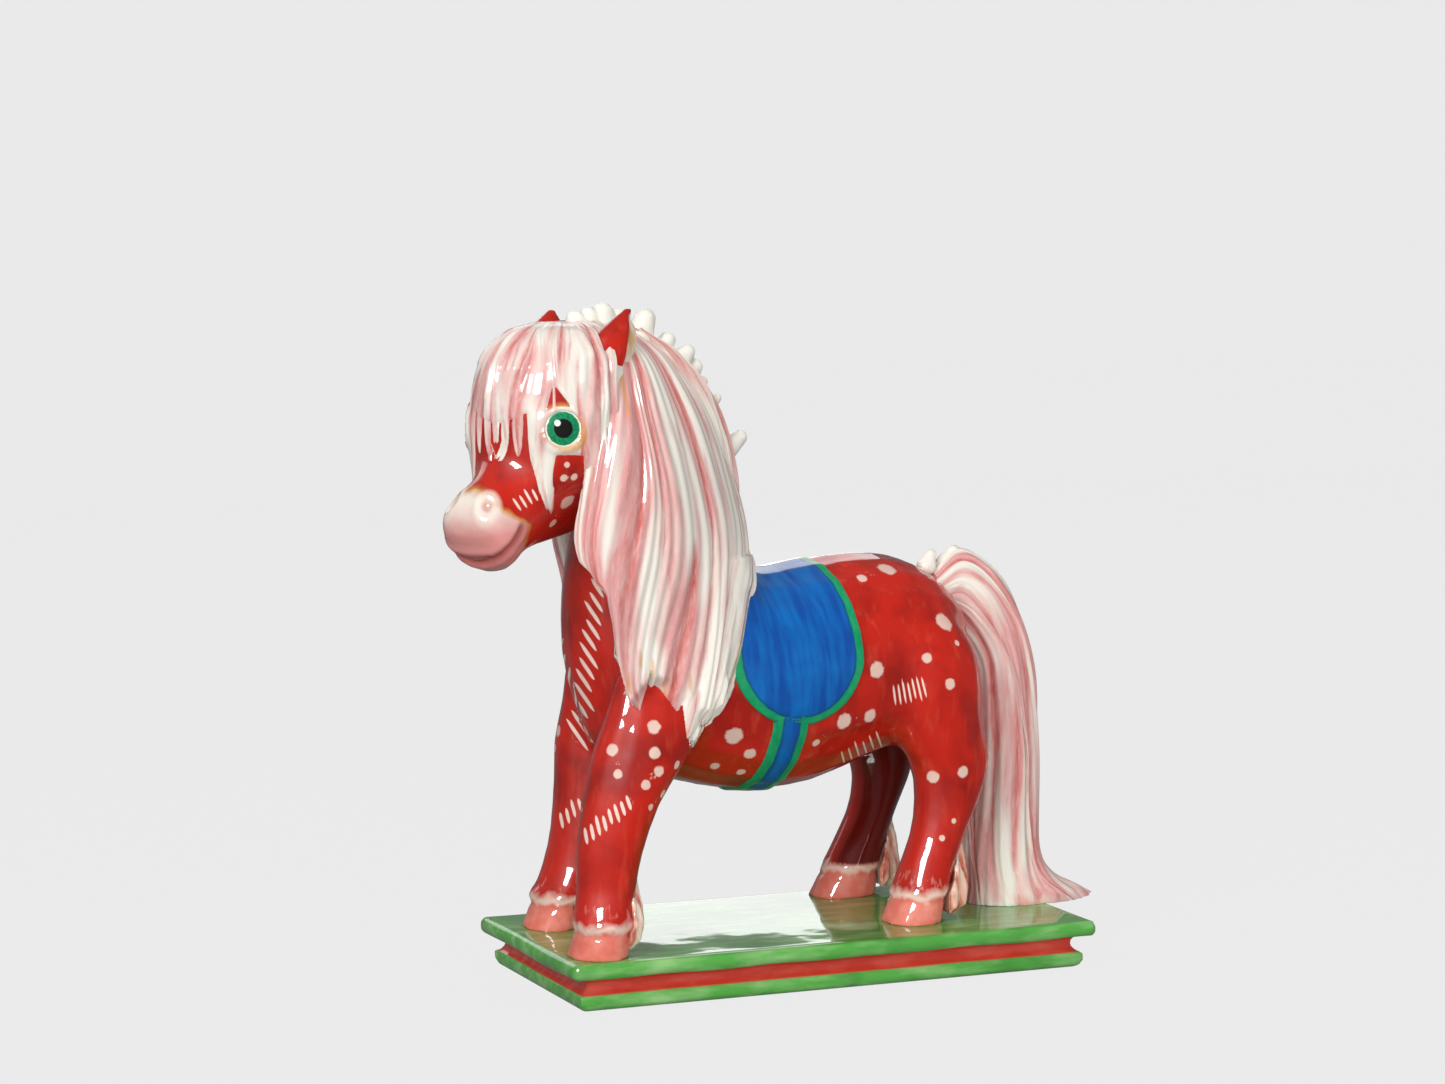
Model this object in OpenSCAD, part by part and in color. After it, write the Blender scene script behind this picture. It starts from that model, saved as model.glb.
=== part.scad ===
// Glazed ceramic pony figure on a moulded plinth.
// The figure is built up the way the potter builds it: a hollow barrel and neck, four legs,
// a turned head, and separately rolled pieces of hair, set on one another with slip.
// Millimetres. The plinth lies along X, the pony looks toward minus X and Z is up.

/* [Plinth] */
// length of the upper slab
plinth_length = 188; // [186:1:200]
// width of the upper slab
plinth_width = 90; // [88:1:100]
// overall height of the plinth
plinth_height = 16; // [15:0.5:18]
// thickness of the upper and of the lower slab
slab = 5.4; // [4.8:0.1:5.6]
// how far the upper slab stands out over the lower one
overhang = 4; // [2:0.5:5]
// depth of the hollow round band between the slabs
band_depth = 2.6; // [1.5:0.1:3.5]
// corner radius of the plinth in plan
plinth_corner = 3; // [2:0.5:4]

/* [Stance] */
// turn of the pony on its plinth
pony_turn = 7.5; // [6.5:0.5:8.5]
// place of the pony along the plinth
pony_x = -19; // [-20:0.5:-18]
// place of the pony across the plinth
pony_y = 5; // [4:0.5:6]
// turn of the head toward the left shoulder
head_turn = 20.5; // [19:0.5:22]

/* [Clay] */
// wall of the hollow barrel
wall = 6; // [5:0.5:8]
// firing vent under the belly
vent_d = 5; // [4:0.5:6]
// thickness of the saddle cloth and the girth
cloth_t = 0.9; // [0.8:0.1:1.4]
// width of the girth
girth_w = 13; // [11:0.5:15]
// diameter of each eye
eye_d = 13; // [12:0.5:14]

/* [Hair] */
// carved locks round one side of the mane
mane_locks = 16; // [14:1:18]
// carved locks round the forelock
forelock_locks = 24; // [22:1:26]
// carved locks round the tail
tail_locks = 12; // [10:1:14]
// depth of the cut between two locks
lock_depth = 2.2; // [1.6:0.1:2.6]

/* [Hidden] */
$fn = 48;

// top of the skull in the pony's own frame
poll = [-51.2, 1.7, 0];

// Sections: each row gives one oval section of a rounded form.
// The first three numbers are one end of the oval, the next three the other end,
// then come its bulge to the left and to the right, and how much fuller its first end is.

// barrel and neck, from the rump to the nape: top line, then belly and chest line
barrel_rows = mid([
  [87, 112, 86, 100, 6], [83, 123, 82, 86, 20], [74, 131, 72, 77, 28], [62, 136, 58, 71, 33],
  [46, 137.5, 41, 66, 35], [28, 136, 22, 61, 36], [11, 134, 1, 60.5, 36], [1, 136, -22, 65.5, 34],
  [-2, 146, -42, 73, 31], [-3, 157, -54, 87, 28], [-6, 167, -60, 105, 26], [-11, 177, -61, 124, 23],
  [-18, 187, -59, 140, 20], [-26, 197, -55, 152, 18], [-35, 204, -49, 162, 15], [-44, 207, -46, 176, 10]]);

// head in its own frame: brow and nose line, then jaw line
skull_rows = [for (r = [
    [8, 203, 9, 172, 12, 0], [0, 209, 2, 158, 18, 0.1], [-12, 211, -8, 151, 20.5, 0.2],
    [-24, 208, -20, 148, 20, 0.25], [-33, 199, -30, 146.5, 18, 0.25], [-39, 188, -36.5, 145, 16, 0.2],
    [-44.5, 178, -41.5, 142.5, 13, 0.05], [-49, 172, -46, 140, 12.6, -0.1],
    [-54, 168, -50.5, 139.8, 13.2, -0.12], [-58.5, 164, -55, 142.5, 12.6, -0.1],
    [-61.2, 159.5, -59, 147.5, 9.5, 0], [-62, 156.5, -61.2, 151.5, 5, 0]])
  [r[0], 0, r[1], r[2], 0, r[3], r[4], r[4], r[5]]];

// legs from shoulder or haunch to sole: front edge, rear edge, height, place across, half width
front_left_rows = leg([
  [-50, -28, 114, -21, 5], [-57, -22, 102, -24, 10], [-61, -23, 90, -25.5, 12],
  [-64, -35, 76, -26.5, 12], [-67, -45, 62, -27, 11], [-69, -50.5, 48, -27, 9.8],
  [-69, -52.5, 38, -27, 9.2], [-71.5, -53.5, 31, -27.5, 9.8], [-73.2, -54, 27, -28, 10.6],
  [-73, -55.5, 24, -28, 10.2], [-75.8, -56, 16, -28, 10.8]]);
front_right_rows = leg([
  [-42, -22, 114, 21, 5], [-48, -18, 102, 24, 10], [-49, -20, 90, 24.5, 12], [-49, -28, 76, 24, 12],
  [-50, -33, 62, 23, 11], [-51.5, -39.5, 48, 22, 9.8], [-54, -44, 38, 22, 9.2],
  [-58.5, -46, 31, 22, 9.8], [-62, -47, 27, 22, 10.6], [-62, -48.5, 24, 22, 10.2],
  [-66, -48.5, 16, 22, 10.8]]);
rear_left_rows = leg([
  [47, 70, 122, -17, 8], [40, 80, 110, -21.5, 14.5], [39, 83, 96, -23, 16], [46, 82, 82, -25, 14],
  [55, 84, 68, -27, 11.5], [56.5, 79.5, 56, -28, 10], [54.5, 73.5, 45, -29, 9.2],
  [50, 68, 35, -30, 9.5], [46.5, 65, 27.5, -30.5, 10.6], [45.5, 63.5, 24.5, -31, 10.2],
  [41.8, 62, 16, -31, 10.8]]);
rear_right_rows = leg([
  [47, 70, 122, 17, 8], [42, 82, 110, 21.5, 14.5], [43, 85.5, 96, 22, 16], [50, 86, 82, 22.5, 14],
  [60.5, 87, 68, 22.5, 11.5], [64, 84, 56, 22, 10], [61.5, 78.5, 45, 21.5, 9.2], [56, 74, 35, 21, 9.2],
  [51.5, 71.5, 27.5, 21, 9.8], [50, 70.5, 24.5, 21, 9.4], [45, 70, 16, 21, 10.2]]);

// near side of the mane: front edge, then rear edge, from the poll down to the hem
mane_left_rows = [
  [-54, -5, 215, -36, 3, 215, 5, 4, 0], [-60, -17, 205, -19, 4, 206, 10, 8, 0],
  [-69, -25, 187, -5.5, 4, 190, 14, 10, 0], [-72, -28, 168, 1.2, 3, 170, 17, 10, 0],
  [-73, -29, 150, 2.5, -3, 150, 18, 10, 0], [-66, -31, 130, 0, -18, 132, 16, 8, 0],
  [-60.5, -32, 111, -9, -30, 113, 11, 6, 0], [-53, -34, 95, -15, -35, 97, 7, 5, 0],
  [-41, -36, 83, -28, -37, 84, 5, 4, 0]];
mane_right_rows = [for (r = mane_left_rows)
  [min(r[0] + 14, -44), -r[1] - 3, r[2], r[3], -r[4], r[5], r[7], r[6], 0]];

// forelock as a cap on the head: brow edge, then nape edge
forelock_rows = [for (r = [
    [-25, 1, 217.5, 7], [-34.5, 3, 214.5, 15.5], [-42, 4, 207, 22], [-46, 4.5, 196, 25],
    [-47, 5, 183, 26], [-45.5, 5, 167, 26], [-41, 5, 150, 24.5]])
  [r[0], 0, r[2], r[1], 0, r[2], r[3], r[3], 0]];

// ear from its tip to its root: front edge, rear edge, place across and half width
ear_rows = [for (r = [
    [-4.5, 222.5, -2.5, 222, 18.5, 1], [-9.5, 218, -1.5, 216, 18, 2.8],
    [-15.5, 211, -2.5, 208, 17, 4.4], [-18, 203.5, -4, 200, 15.5, 4.8], [-17, 195, -5, 192, 14.5, 4]])
  [r[0], -r[4], r[1], r[2], -r[4], r[3], r[5], r[5], 0]];

// tail: inner edge, then outer edge, from the dock down to the tip on the plinth
tail_rows = [
  [78, 0, 112, 80, 0, 130, 6, 6, 0], [85, 0, 111, 90, 0, 137.5, 9, 9, 0],
  [88, -1, 105, 101, -1, 132.5, 12, 12, 0], [90, -3, 95, 111, -3, 117.5, 14, 14, 0],
  [89, -5, 83, 115.5, -5, 99, 15, 15, 0], [89, -7, 68, 116, -7, 75, 15.5, 15.5, 0],
  [88, -9, 50, 114.5, -9, 50, 15.5, 15.5, 0], [87, -11, 34, 114.5, -11, 34, 16, 16, 0],
  [86, -13, 23, 119, -13, 25, 17, 17, 0], [85, -14, 16, 128, -16, 20, 16, 16, 0],
  [86, -15, 12, 134, -18, 16.5, 13, 15, 0]];

// knots along the crest: place, height, size and lean to the rear
knot_rows = [[-59.8, 212.3, 4.4, 0], [-48.5, 212.4, 6, 8], [-36, 210, 6, 25], [-25.8, 207.9, 3.6, 40],
  [-19.9, 198.8, 5.6, 50], [-7.3, 188.9, 3, 45], [0, 177.2, 3.6, 70]];
// knots on the dock
dock_rows = [[75.6, 129, 4.2, 20], [88.2, 129.3, 5.4, 20]];

// fetlock hair: how far it reaches into and behind the leg, height above the sole, half width
feather_rows = [[2, 1, 31, 3], [5, 2.5, 22, 5.5], [6, 4.5, 13, 7.5], [6, 5.5, 6, 7.5], [4, 2.5, 1.5, 4.5]];

// Rows of a form that lies on the middle plane.
function mid(rows) = [for (r = rows) [r[0], 0, r[1], r[2], 0, r[3], r[4], r[4], 0]];

// Rows of an upright limb: front, rear, height, place across, half width.
function leg(rows) = [for (r = rows) [r[0], r[3], r[2], r[1], r[3], r[2], r[4], r[4], 0]];

// Smooth curve through the rows, read at place t, where whole numbers fall on the rows.
function at(rows, t) =
  let (
    n = len(rows) - 1,
    i = max(0, min(floor(t), n - 1)),
    f = t - i,
    b = rows[i],
    c = rows[i + 1],
    a = i > 0 ? rows[i - 1] : 2 * b - c,
    d = i + 2 <= n ? rows[i + 2] : 2 * c - b
  )
  b + 0.5 * f * (c - a + f * (2 * a - 5 * b + 4 * c - d + f * (3 * (b - c) + d - a)));

// Point on a section at angle a, with the whole section grown by g.
function on(r, a, g = 0) =
  let (
    p = [r[0], r[1], r[2]],
    q = [r[3], r[4], r[5]],
    h = (p - q) / 2,
    side = sin(a) < 0 ? r[6] : r[7]
  )
  (p + q) / 2 + h * cos(a) * (1 + g / norm(h)) + [0, (side + g) * sin(a) * (1 + r[8] * cos(a)), 0];

// Depth of the carving at column k, where a lock is four columns wide.
function cut(k) = abs(cos(45 * k)) - 1;

function mean(v) = v * [for (i = v) 1] / len(v);

// Closed skin over rings of points, with a fan over each end.
module skin(rings) {
  n = len(rings);
  m = len(rings[0]);
  first = [for (c = [0:2]) mean([for (p = rings[0]) p[c]])];
  last = [for (c = [0:2]) mean([for (p = rings[n - 1]) p[c]])];
  walls = [for (i = [0:n - 2]) for (k = [0:m - 1])
    let (a = i * m + k, b = i * m + (k + 1) % m) each [[a, b + m, b], [a, a + m, b + m]]];
  ends = [for (k = [0:m - 1])
    each [[n * m, k, (k + 1) % m], [n * m + 1, (n - 1) * m + (k + 1) % m, (n - 1) * m + k]]];
  polyhedron(
    points = concat([for (r = rings) each r], [first, last]),
    faces = concat(walls, ends),
    convexity = 8
  );
}

// Rounded form through its rows.
module form(rows, rings, sides, g = 0) {
  step = (len(rows) - 1) / rings;
  skin([for (i = [0:rings]) [for (k = [0:sides - 1]) on(at(rows, i * step), 360 * k / sides, g)]]);
}

// Hair through its rows: carved into locks, each column ending at the row number in reach.
module hair(rows, rings, locks, reach) {
  skin([for (i = [0:rings]) [for (k = [0:4 * locks - 1])
    let (t = reach[k] * i / rings, deep = lock_depth * min(1, 0.25 + t))
    on(at(rows, t), 90 * k / locks, deep * cut(k))]]);
}

module pony() {
  translate([pony_x, pony_y, 0]) rotate([0, 0, pony_turn]) children();
}

module on_head() {
  translate(poll) rotate([0, 0, head_turn]) children();
}

module barrel(g = 0) {
  form(barrel_rows, 34, 22, g);
}

module skull() {
  on_head() form(skull_rows, 22, 20);
}

// Rectangle with round corners.
module rounded(l, w, r) {
  square([l - 2 * r, w], center = true);
  square([l, w - 2 * r], center = true);
  for (x = [-1, 1]) for (y = [-1, 1]) translate([x * (l / 2 - r), y * (w / 2 - r)]) circle(r);
}

// Moulding across the plinth: two round-edged slabs with a hollow band between.
module moulding(w) {
  low = w - 2 * overhang;
  translate([0, slab / 2]) rounded(low, slab, 2.2);
  translate([0, plinth_height - slab / 2]) rounded(w, slab, 2.2);
  difference() {
    translate([0, plinth_height / 2]) square([low, plinth_height - slab], center = true);
    for (s = [-1, 1]) translate([s * (low / 2 + 3.2 - band_depth), plinth_height / 2]) circle(3.2);
  }
}

module plinth() {
  color("#5AAE3C") intersection() {
    rotate([90, 0, 90]) linear_extrude(plinth_length + 2, center = true) moulding(plinth_width);
    rotate([90, 0, 0]) linear_extrude(plinth_width + 2, center = true) moulding(plinth_length);
    linear_extrude(plinth_height) rounded(plinth_length, plinth_width, plinth_corner);
  }
}

module body() {
  color("#BE2F24") pony() difference() {
    barrel();
    form([for (i = [0.9:0.8:12.4]) at(barrel_rows, i)], 16, 16, -wall);
    translate([30, 0, 40]) cylinder(d = vent_d, h = 60);
  }
}

module limb(rows) {
  color("#BE2F24") pony() difference() {
    form(rows, 18, 14);
    barrel();
  }
}

module front_left_leg() { limb(front_left_rows); }
module front_right_leg() { limb(front_right_rows); }
module rear_left_leg() { limb(rear_left_rows); }
module rear_right_leg() { limb(rear_right_rows); }

// Hair behind one fetlock, seated on its leg.
module feather(rows) {
  heel = [for (r = rows) [r[5], r[3]]];
  across = [for (r = rows) [r[5], r[4]]];
  own = [for (r = feather_rows)
    let (z = plinth_height + r[2], x = lookup(z, heel), y = lookup(z, across))
    [x - r[0], y, z, x + r[1], y, z, r[3], r[3], 0]];
  color("#EBC9B4") pony() difference() {
    hair(own, 5, 5, [for (k = [0:19]) 4 + 0.5 * cut(k)]);
    form(rows, 18, 14);
  }
}

module front_left_feather() { feather(front_left_rows); }
module front_right_feather() { feather(front_right_rows); }
module rear_left_feather() { feather(rear_left_rows); }
module rear_right_feather() { feather(rear_right_rows); }

module head() {
  color("#BE2F24") pony() difference() {
    skull();
    barrel();
    eyeball(-1);
    eyeball(1);
  }
}

// Eye on side s, a ball pressed into the socket.
module eyeball(s) {
  on_head() translate([-31.5, s * 13.6, 184.5]) sphere(d = eye_d);
}

module left_eye() { color("#1F8F5A") pony() eyeball(-1); }
module right_eye() { color("#1F8F5A") pony() eyeball(1); }

module ear_form() { on_head() form(ear_rows, 9, 12); }
module far_ear_form() { on_head() translate([5, 0, -1]) mirror([0, 1, 0]) form(ear_rows, 9, 12); }

module left_ear() {
  color("#BE2F24") pony() difference() { ear_form(); skull(); }
}
module right_ear() {
  color("#BE2F24") pony() difference() {
    far_ear_form();
    skull();
  }
}

// Row that the forelock reaches at angle a from the brow:
// fringe, long lock, gap over the eye, cheek and nape.
function brow_reach(a) =
  let (b = min(a, 360 - a))
  b < 24 ? 4.1 : b < 34 ? 5 : b < 64 ? 2.3 + 0.12 * abs(b - 48) : b < 116 ? 5.9 : 3.2;

module forelock_hair() {
  on_head() hair(forelock_rows, 9, forelock_locks,
    [for (k = [0:4 * forelock_locks - 1]) brow_reach(90 * k / forelock_locks) + 0.35 * cut(k)]);
}

module forelock() {
  color("#F0E2D8") pony() difference() {
    forelock_hair();
    skull();
    barrel();
    ear_form();
    far_ear_form();
    knot_set(knot_rows);
  }
}

module mane_hair(rows) {
  hair(rows, 12, mane_locks, [for (k = [0:4 * mane_locks - 1]) 8 + 0.4 * cut(k)]);
}

module mane_left() {
  color("#F0E2D8") pony() difference() {
    mane_hair(mane_left_rows);
    barrel();
    skull();
    forelock_hair();
    form(front_left_rows, 18, 14);
    ear_form();
    knot_set(knot_rows);
    translate([-100, 0, 0]) cube([200, 100, 300]);
  }
}

module mane_right() {
  color("#F0E2D8") pony() difference() {
    mane_hair(mane_right_rows);
    barrel();
    skull();
    forelock_hair();
    form(front_right_rows, 18, 14);
    far_ear_form();
    knot_set(knot_rows);
    translate([-100, -100, 0]) cube([200, 100, 300]);
  }
}

// Rolled knots of hair, each a blunt bud.
module knot_set(rows) {
  for (r = rows) translate([r[0], 0, r[1]]) rotate([0, r[3], 0]) hull() {
    sphere(r[2], $fn = 12);
    translate([0, 0, 1.1 * r[2]]) sphere(0.62 * r[2], $fn = 8);
  }
}

module crest_knots() { color("#F4EFE6") pony() knot_set(knot_rows); }

module tail_hair() {
  hair(tail_rows, 17, tail_locks, [for (k = [0:4 * tail_locks - 1]) 10]);
}

module tail() {
  color("#F0E2D8") pony() difference() {
    tail_hair();
    barrel();
    form(rear_left_rows, 18, 14);
    form(rear_right_rows, 18, 14);
    knot_set(dock_rows);
    cube([400, 400, 2 * plinth_height], center = true);
  }
}

module tail_knots() {
  color("#F4EFE6") pony() difference() {
    knot_set(dock_rows);
    barrel();
  }
}

// Side outline of the saddle cloth, drawn across both flanks.
module cloth_outline() {
  translate([6, 0, 109.5]) rotate([90, 0, 0]) linear_extrude(120, center = true) {
    circle(24.5);
    polygon([[-24.5, 0], [24.5, 0], [29, 32], [-24.5, 32]]);
  }
}

module saddle_cloth() {
  color("#2356A8") pony() difference() {
    intersection() {
      barrel(cloth_t);
      cloth_outline();
    }
    barrel();
    mane_hair(mane_left_rows);
    mane_hair(mane_right_rows);
  }
}

module girth_strap() {
  color("#2A6FA0") pony() difference() {
    intersection() {
      barrel(cloth_t);
      translate([3 - girth_w / 2, -60, 40]) cube([girth_w, 120, 56]);
    }
    barrel();
    cloth_outline();
  }
}

plinth();
body();
front_left_leg();
front_right_leg();
rear_left_leg();
rear_right_leg();
front_left_feather();
front_right_feather();
rear_left_feather();
rear_right_feather();
head();
left_eye();
right_eye();
left_ear();
right_ear();
forelock();
mane_left();
mane_right();
crest_knots();
tail();
tail_knots();
saddle_cloth();
girth_strap();
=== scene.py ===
"""Glazed ceramic pony on a moulded plinth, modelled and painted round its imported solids."""

import logging
import math
from dataclasses import dataclass, field
from enum import Enum
from typing import Any, Callable, Sequence

import bmesh
import bpy
import numpy as np
from bpy.types import Material, Mesh, NodeSocket, NodeTree
from mathutils import Matrix, Vector
from mathutils.bvhtree import BVHTree


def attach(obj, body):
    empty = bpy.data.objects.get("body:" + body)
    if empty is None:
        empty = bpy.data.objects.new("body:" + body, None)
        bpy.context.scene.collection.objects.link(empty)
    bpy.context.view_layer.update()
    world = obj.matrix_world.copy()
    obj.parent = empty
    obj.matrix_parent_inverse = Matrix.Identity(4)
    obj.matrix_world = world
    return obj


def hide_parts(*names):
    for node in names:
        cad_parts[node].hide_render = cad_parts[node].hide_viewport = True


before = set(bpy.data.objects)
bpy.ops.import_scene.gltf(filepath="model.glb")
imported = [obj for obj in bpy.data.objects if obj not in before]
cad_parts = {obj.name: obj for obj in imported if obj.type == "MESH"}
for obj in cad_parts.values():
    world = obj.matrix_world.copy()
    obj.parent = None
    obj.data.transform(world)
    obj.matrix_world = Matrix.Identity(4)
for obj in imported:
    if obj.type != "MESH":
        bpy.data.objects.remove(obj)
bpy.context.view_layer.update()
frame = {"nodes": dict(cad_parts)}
LOG = logging.getLogger("pony")

MM = 0.001
IMAGE_SIZE = (1445, 1084)
PLINTH_TOP = 16.0
# turns a place to the other side of a frame's middle plane, and keeps a push level
FLIP = np.array((1.0, -1.0, 1.0))
LEVEL = np.array((1.0, 1.0, 0.0))


# two and three numbers, and a rule that gives one value for each of many
Pair = tuple[float, float]
Triple = tuple[float, float, float]
Rule = Callable[[np.ndarray], np.ndarray]


class Slot(Enum):
    """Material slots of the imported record."""

    PLINTH = "plinth_glaze"
    COAT = "coat_glaze"
    HAIR = "hair_glaze"
    KNOT = "knot_glaze"
    EYE = "eye_glaze"
    CLOTH = "cloth_glaze"


class Side(Enum):
    """Side of the pony, as the sign of its own Y axis."""

    LEFT = -1
    RIGHT = 1


# Frames and the viewpoint


@dataclass(frozen=True)
class Placement:
    """A turn about the upright axis, in degrees, and a shift in mm, inside another placement."""

    turn: float
    shift: Triple
    within: "Placement | None" = None

    def matrix(self) -> np.ndarray:
        """Turn for points held as rows."""
        c, s = math.cos(math.radians(self.turn)), math.sin(math.radians(self.turn))
        return np.array(((c, s, 0.0), (-s, c, 0.0), (0.0, 0.0, 1.0)))

    def out(self, points: np.ndarray) -> np.ndarray:
        """Points of this frame, in the plinth's frame."""
        moved = np.asarray(points, float) @ self.matrix() + self.shift
        return self.within.out(moved) if self.within else moved

    def inside(self, points: np.ndarray) -> np.ndarray:
        """Points of the plinth's frame, in this frame."""
        near = self.within.inside(points) if self.within else np.asarray(points, float)
        return (near - self.shift) @ self.matrix().T


PONY = Placement(7.5, (-19.0, 5.0, 0.0))
HEAD = Placement(20.5, (-51.2, 1.7, 0.0), PONY)


@dataclass(frozen=True)
class View:
    """Viewpoint of the photograph: angles in degrees, focal length in pixels, place in mm."""

    azimuth: float = -23.14
    elevation: float = 5.22
    focal_px: float = 3601.0
    at: Triple = (-488.94, -1087.86, 251.96)

    def axes(self) -> tuple[np.ndarray, np.ndarray, np.ndarray]:
        """Right, up and backward directions of the camera."""
        az, el = math.radians(self.azimuth), math.radians(self.elevation)
        back = np.array((math.sin(az) * math.cos(el), -math.cos(az) * math.cos(el), math.sin(el)))
        right = np.array((math.cos(az), math.sin(az), 0.0))
        return right, np.cross(back, right), back

    def ray(self, pixel: Sequence[float]) -> tuple[Vector, Vector]:
        """Line of sight through a pixel of the photograph.

        Args:
            pixel: Column and row in the photograph.

        Returns:
            Start in metres and direction.
        """
        right, up, back = self.axes()
        across = (pixel[0] - IMAGE_SIZE[0] / 2) / self.focal_px
        down = (pixel[1] - IMAGE_SIZE[1] / 2) / self.focal_px
        return Vector(self.at) * MM, Vector(right * across - up * down - back).normalized()

    def on_middle(self, pixel: Sequence[float]) -> np.ndarray:
        """Place in mm where a line of sight meets the pony's middle plane."""
        start, way = self.ray(pixel)
        near, far = PONY.inside(np.array((start, start + way)) / MM)
        return PONY.out((near + (far - near) * near[1] / (near[1] - far[1]))[None])[0]

    def pixels(self, points: np.ndarray) -> np.ndarray:
        """Columns and rows of the photograph where places in mm are seen."""
        right, up, back = self.axes()
        away = points - np.array(self.at)
        scale = -self.focal_px / (away @ back)
        columns, rows = scale * (away @ right), -scale * (away @ up)
        return np.stack((IMAGE_SIZE[0] / 2 + columns, IMAGE_SIZE[1] / 2 + rows), axis=1)

    def set_camera(self) -> None:
        """Put the scene's camera at the viewpoint."""
        lens = bpy.data.cameras.new("viewpoint")
        lens.sensor_width = 36.0
        lens.lens = self.focal_px / IMAGE_SIZE[0] * lens.sensor_width
        camera = bpy.data.objects.new("viewpoint", lens)
        rows = [(*row, shift * MM) for row, shift in zip(np.transpose(self.axes()), self.at)]
        camera.matrix_world = Matrix((*rows, (0.0, 0.0, 0.0, 1.0)))
        bpy.context.collection.objects.link(camera)
        bpy.context.scene.camera = camera


VIEW = View()
# size of one pixel of the photograph at the figure
PIXEL_MM = 0.33


@dataclass(frozen=True)
class Outline:
    """Closed outline drawn over the photograph, in pixels, widened by a margin; one corner makes a disc."""

    corners: tuple[Pair, ...]
    margin: float = 0.0

    def depth(self, spots: np.ndarray) -> np.ndarray:
        """How far inside the outline each spot lies, in mm at the figure, negative outside."""
        ends = np.array(self.corners, float)
        near, crossings = np.full(len(spots), np.inf), np.zeros(len(spots), int)
        for start, end in zip(ends, np.roll(ends, -1, axis=0)):
            way = end - start
            share = np.clip((spots - start) @ way / max(way @ way, 1e-9), 0.0, 1.0)
            near = np.minimum(near, lengths(spots - start - share[:, None] * way))
            level = (start[1] > spots[:, 1]) != (end[1] > spots[:, 1])
            crossed = start[0] + (spots[:, 1] - start[1]) * way[0] / (way[1] or 1e-9)
            crossings += level & (spots[:, 0] < crossed)
        return (np.where(crossings % 2 == 1, near, -near) + self.margin) * PIXEL_MM


def spots_of(frame_of: Placement, points: np.ndarray) -> np.ndarray:
    """Pixels of the photograph for places in mm, with those on a frame's right side mirrored to its left."""
    here = frame_of.inside(points)
    here[:, 1] = -np.abs(here[:, 1])
    return VIEW.pixels(frame_of.out(here))


# Working clay: helpers that read and move the vertices of a mesh, in mm


def lengths(ways: np.ndarray) -> np.ndarray:
    """Length of each row."""
    return np.linalg.norm(ways, axis=1)


def hump(value: np.ndarray, middle: float, width: float) -> np.ndarray:
    """Soft rise to 1 round a middle value."""
    return np.exp(-((value - middle) / width) ** 2)


def smoothstep(low: float, high: float, value: np.ndarray) -> np.ndarray:
    """Soft step from 0 at low to 1 at high."""
    share = np.clip((value - low) / (high - low), 0.0, 1.0)
    return share * share * (3.0 - 2.0 * share)


def ripple(points: np.ndarray, length: float, seed: int) -> np.ndarray:
    """Smooth uneven field between about -1 and 1.

    Args:
        points: Places in mm.
        length: Typical distance between two crests, in mm.
        seed: Seed of the field.

    Returns:
        One value for each place.
    """
    rng = np.random.default_rng(seed)
    total = np.zeros(len(points))
    for _ in range(6):
        way = rng.normal(size=3)
        way *= 2 * math.pi / length * rng.uniform(0.7, 1.4) / np.linalg.norm(way)
        total += np.sin(points @ way + rng.uniform(0.0, 2 * math.pi))
    return total / 3.0


def merged(*names: str) -> bmesh.types.BMesh:
    """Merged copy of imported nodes, as one bmesh."""
    bm = bmesh.new()
    for name in names:
        bm.from_mesh(frame["nodes"][name].data)
    bmesh.ops.remove_doubles(bm, verts=bm.verts, dist=1e-6)
    return bm


def humps(value: np.ndarray, *rows: Triple) -> np.ndarray:
    """Sum of soft rises, each with its height, its middle value and its width."""
    return sum(height * hump(value, middle, width) for height, middle, width in rows)


def poured(bm: bmesh.types.BMesh, name: str) -> Mesh:
    """New mesh from a bmesh, which is freed."""
    mesh = bpy.data.meshes.new(name)
    bm.to_mesh(mesh)
    bm.free()
    return mesh


def kneaded(bm: bmesh.types.BMesh, grain: float) -> Mesh:
    """Closed skin of even small faces over a bmesh, which is freed.

    Args:
        bm: Closed forms, which may overlap.
        grain: Size of the new faces, in mm.

    Returns:
        The new mesh.
    """
    lump = poured(bm, "lump")
    holder = bpy.data.objects.new("lump", lump)
    bpy.context.collection.objects.link(holder)
    knead = holder.modifiers.new("knead", "REMESH")
    knead.mode = "VOXEL"
    knead.voxel_size = grain * MM
    done = bpy.data.meshes.new_from_object(holder.evaluated_get(bpy.context.evaluated_depsgraph_get()))
    bpy.data.objects.remove(holder)
    bpy.data.meshes.remove(lump)
    return done


def coords(mesh: Mesh) -> np.ndarray:
    """Places of the vertices, in mm."""
    flat = np.empty(3 * len(mesh.vertices))
    mesh.vertices.foreach_get("co", flat)
    return flat.reshape(-1, 3) / MM


def place(mesh: Mesh, points: np.ndarray) -> None:
    """Move the vertices to new places, in mm."""
    mesh.vertices.foreach_set("co", (points * MM).ravel())
    mesh.update()


def normals(mesh: Mesh) -> np.ndarray:
    """Outward directions at the vertices."""
    flat = np.empty(3 * len(mesh.vertices))
    mesh.vertices.foreach_get("normal", flat)
    return flat.reshape(-1, 3)


def pushed(mesh: Mesh, points: np.ndarray, height: np.ndarray) -> np.ndarray:
    """Points moved out along the mesh's directions by heights in mm."""
    return points + normals(mesh) * height[:, None]


def edge_ends(mesh: Mesh) -> np.ndarray:
    """Numbers of both vertices of each edge."""
    ends = np.empty(2 * len(mesh.edges), np.int64)
    mesh.edges.foreach_get("vertices", ends)
    return ends.reshape(-1, 2)


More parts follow.
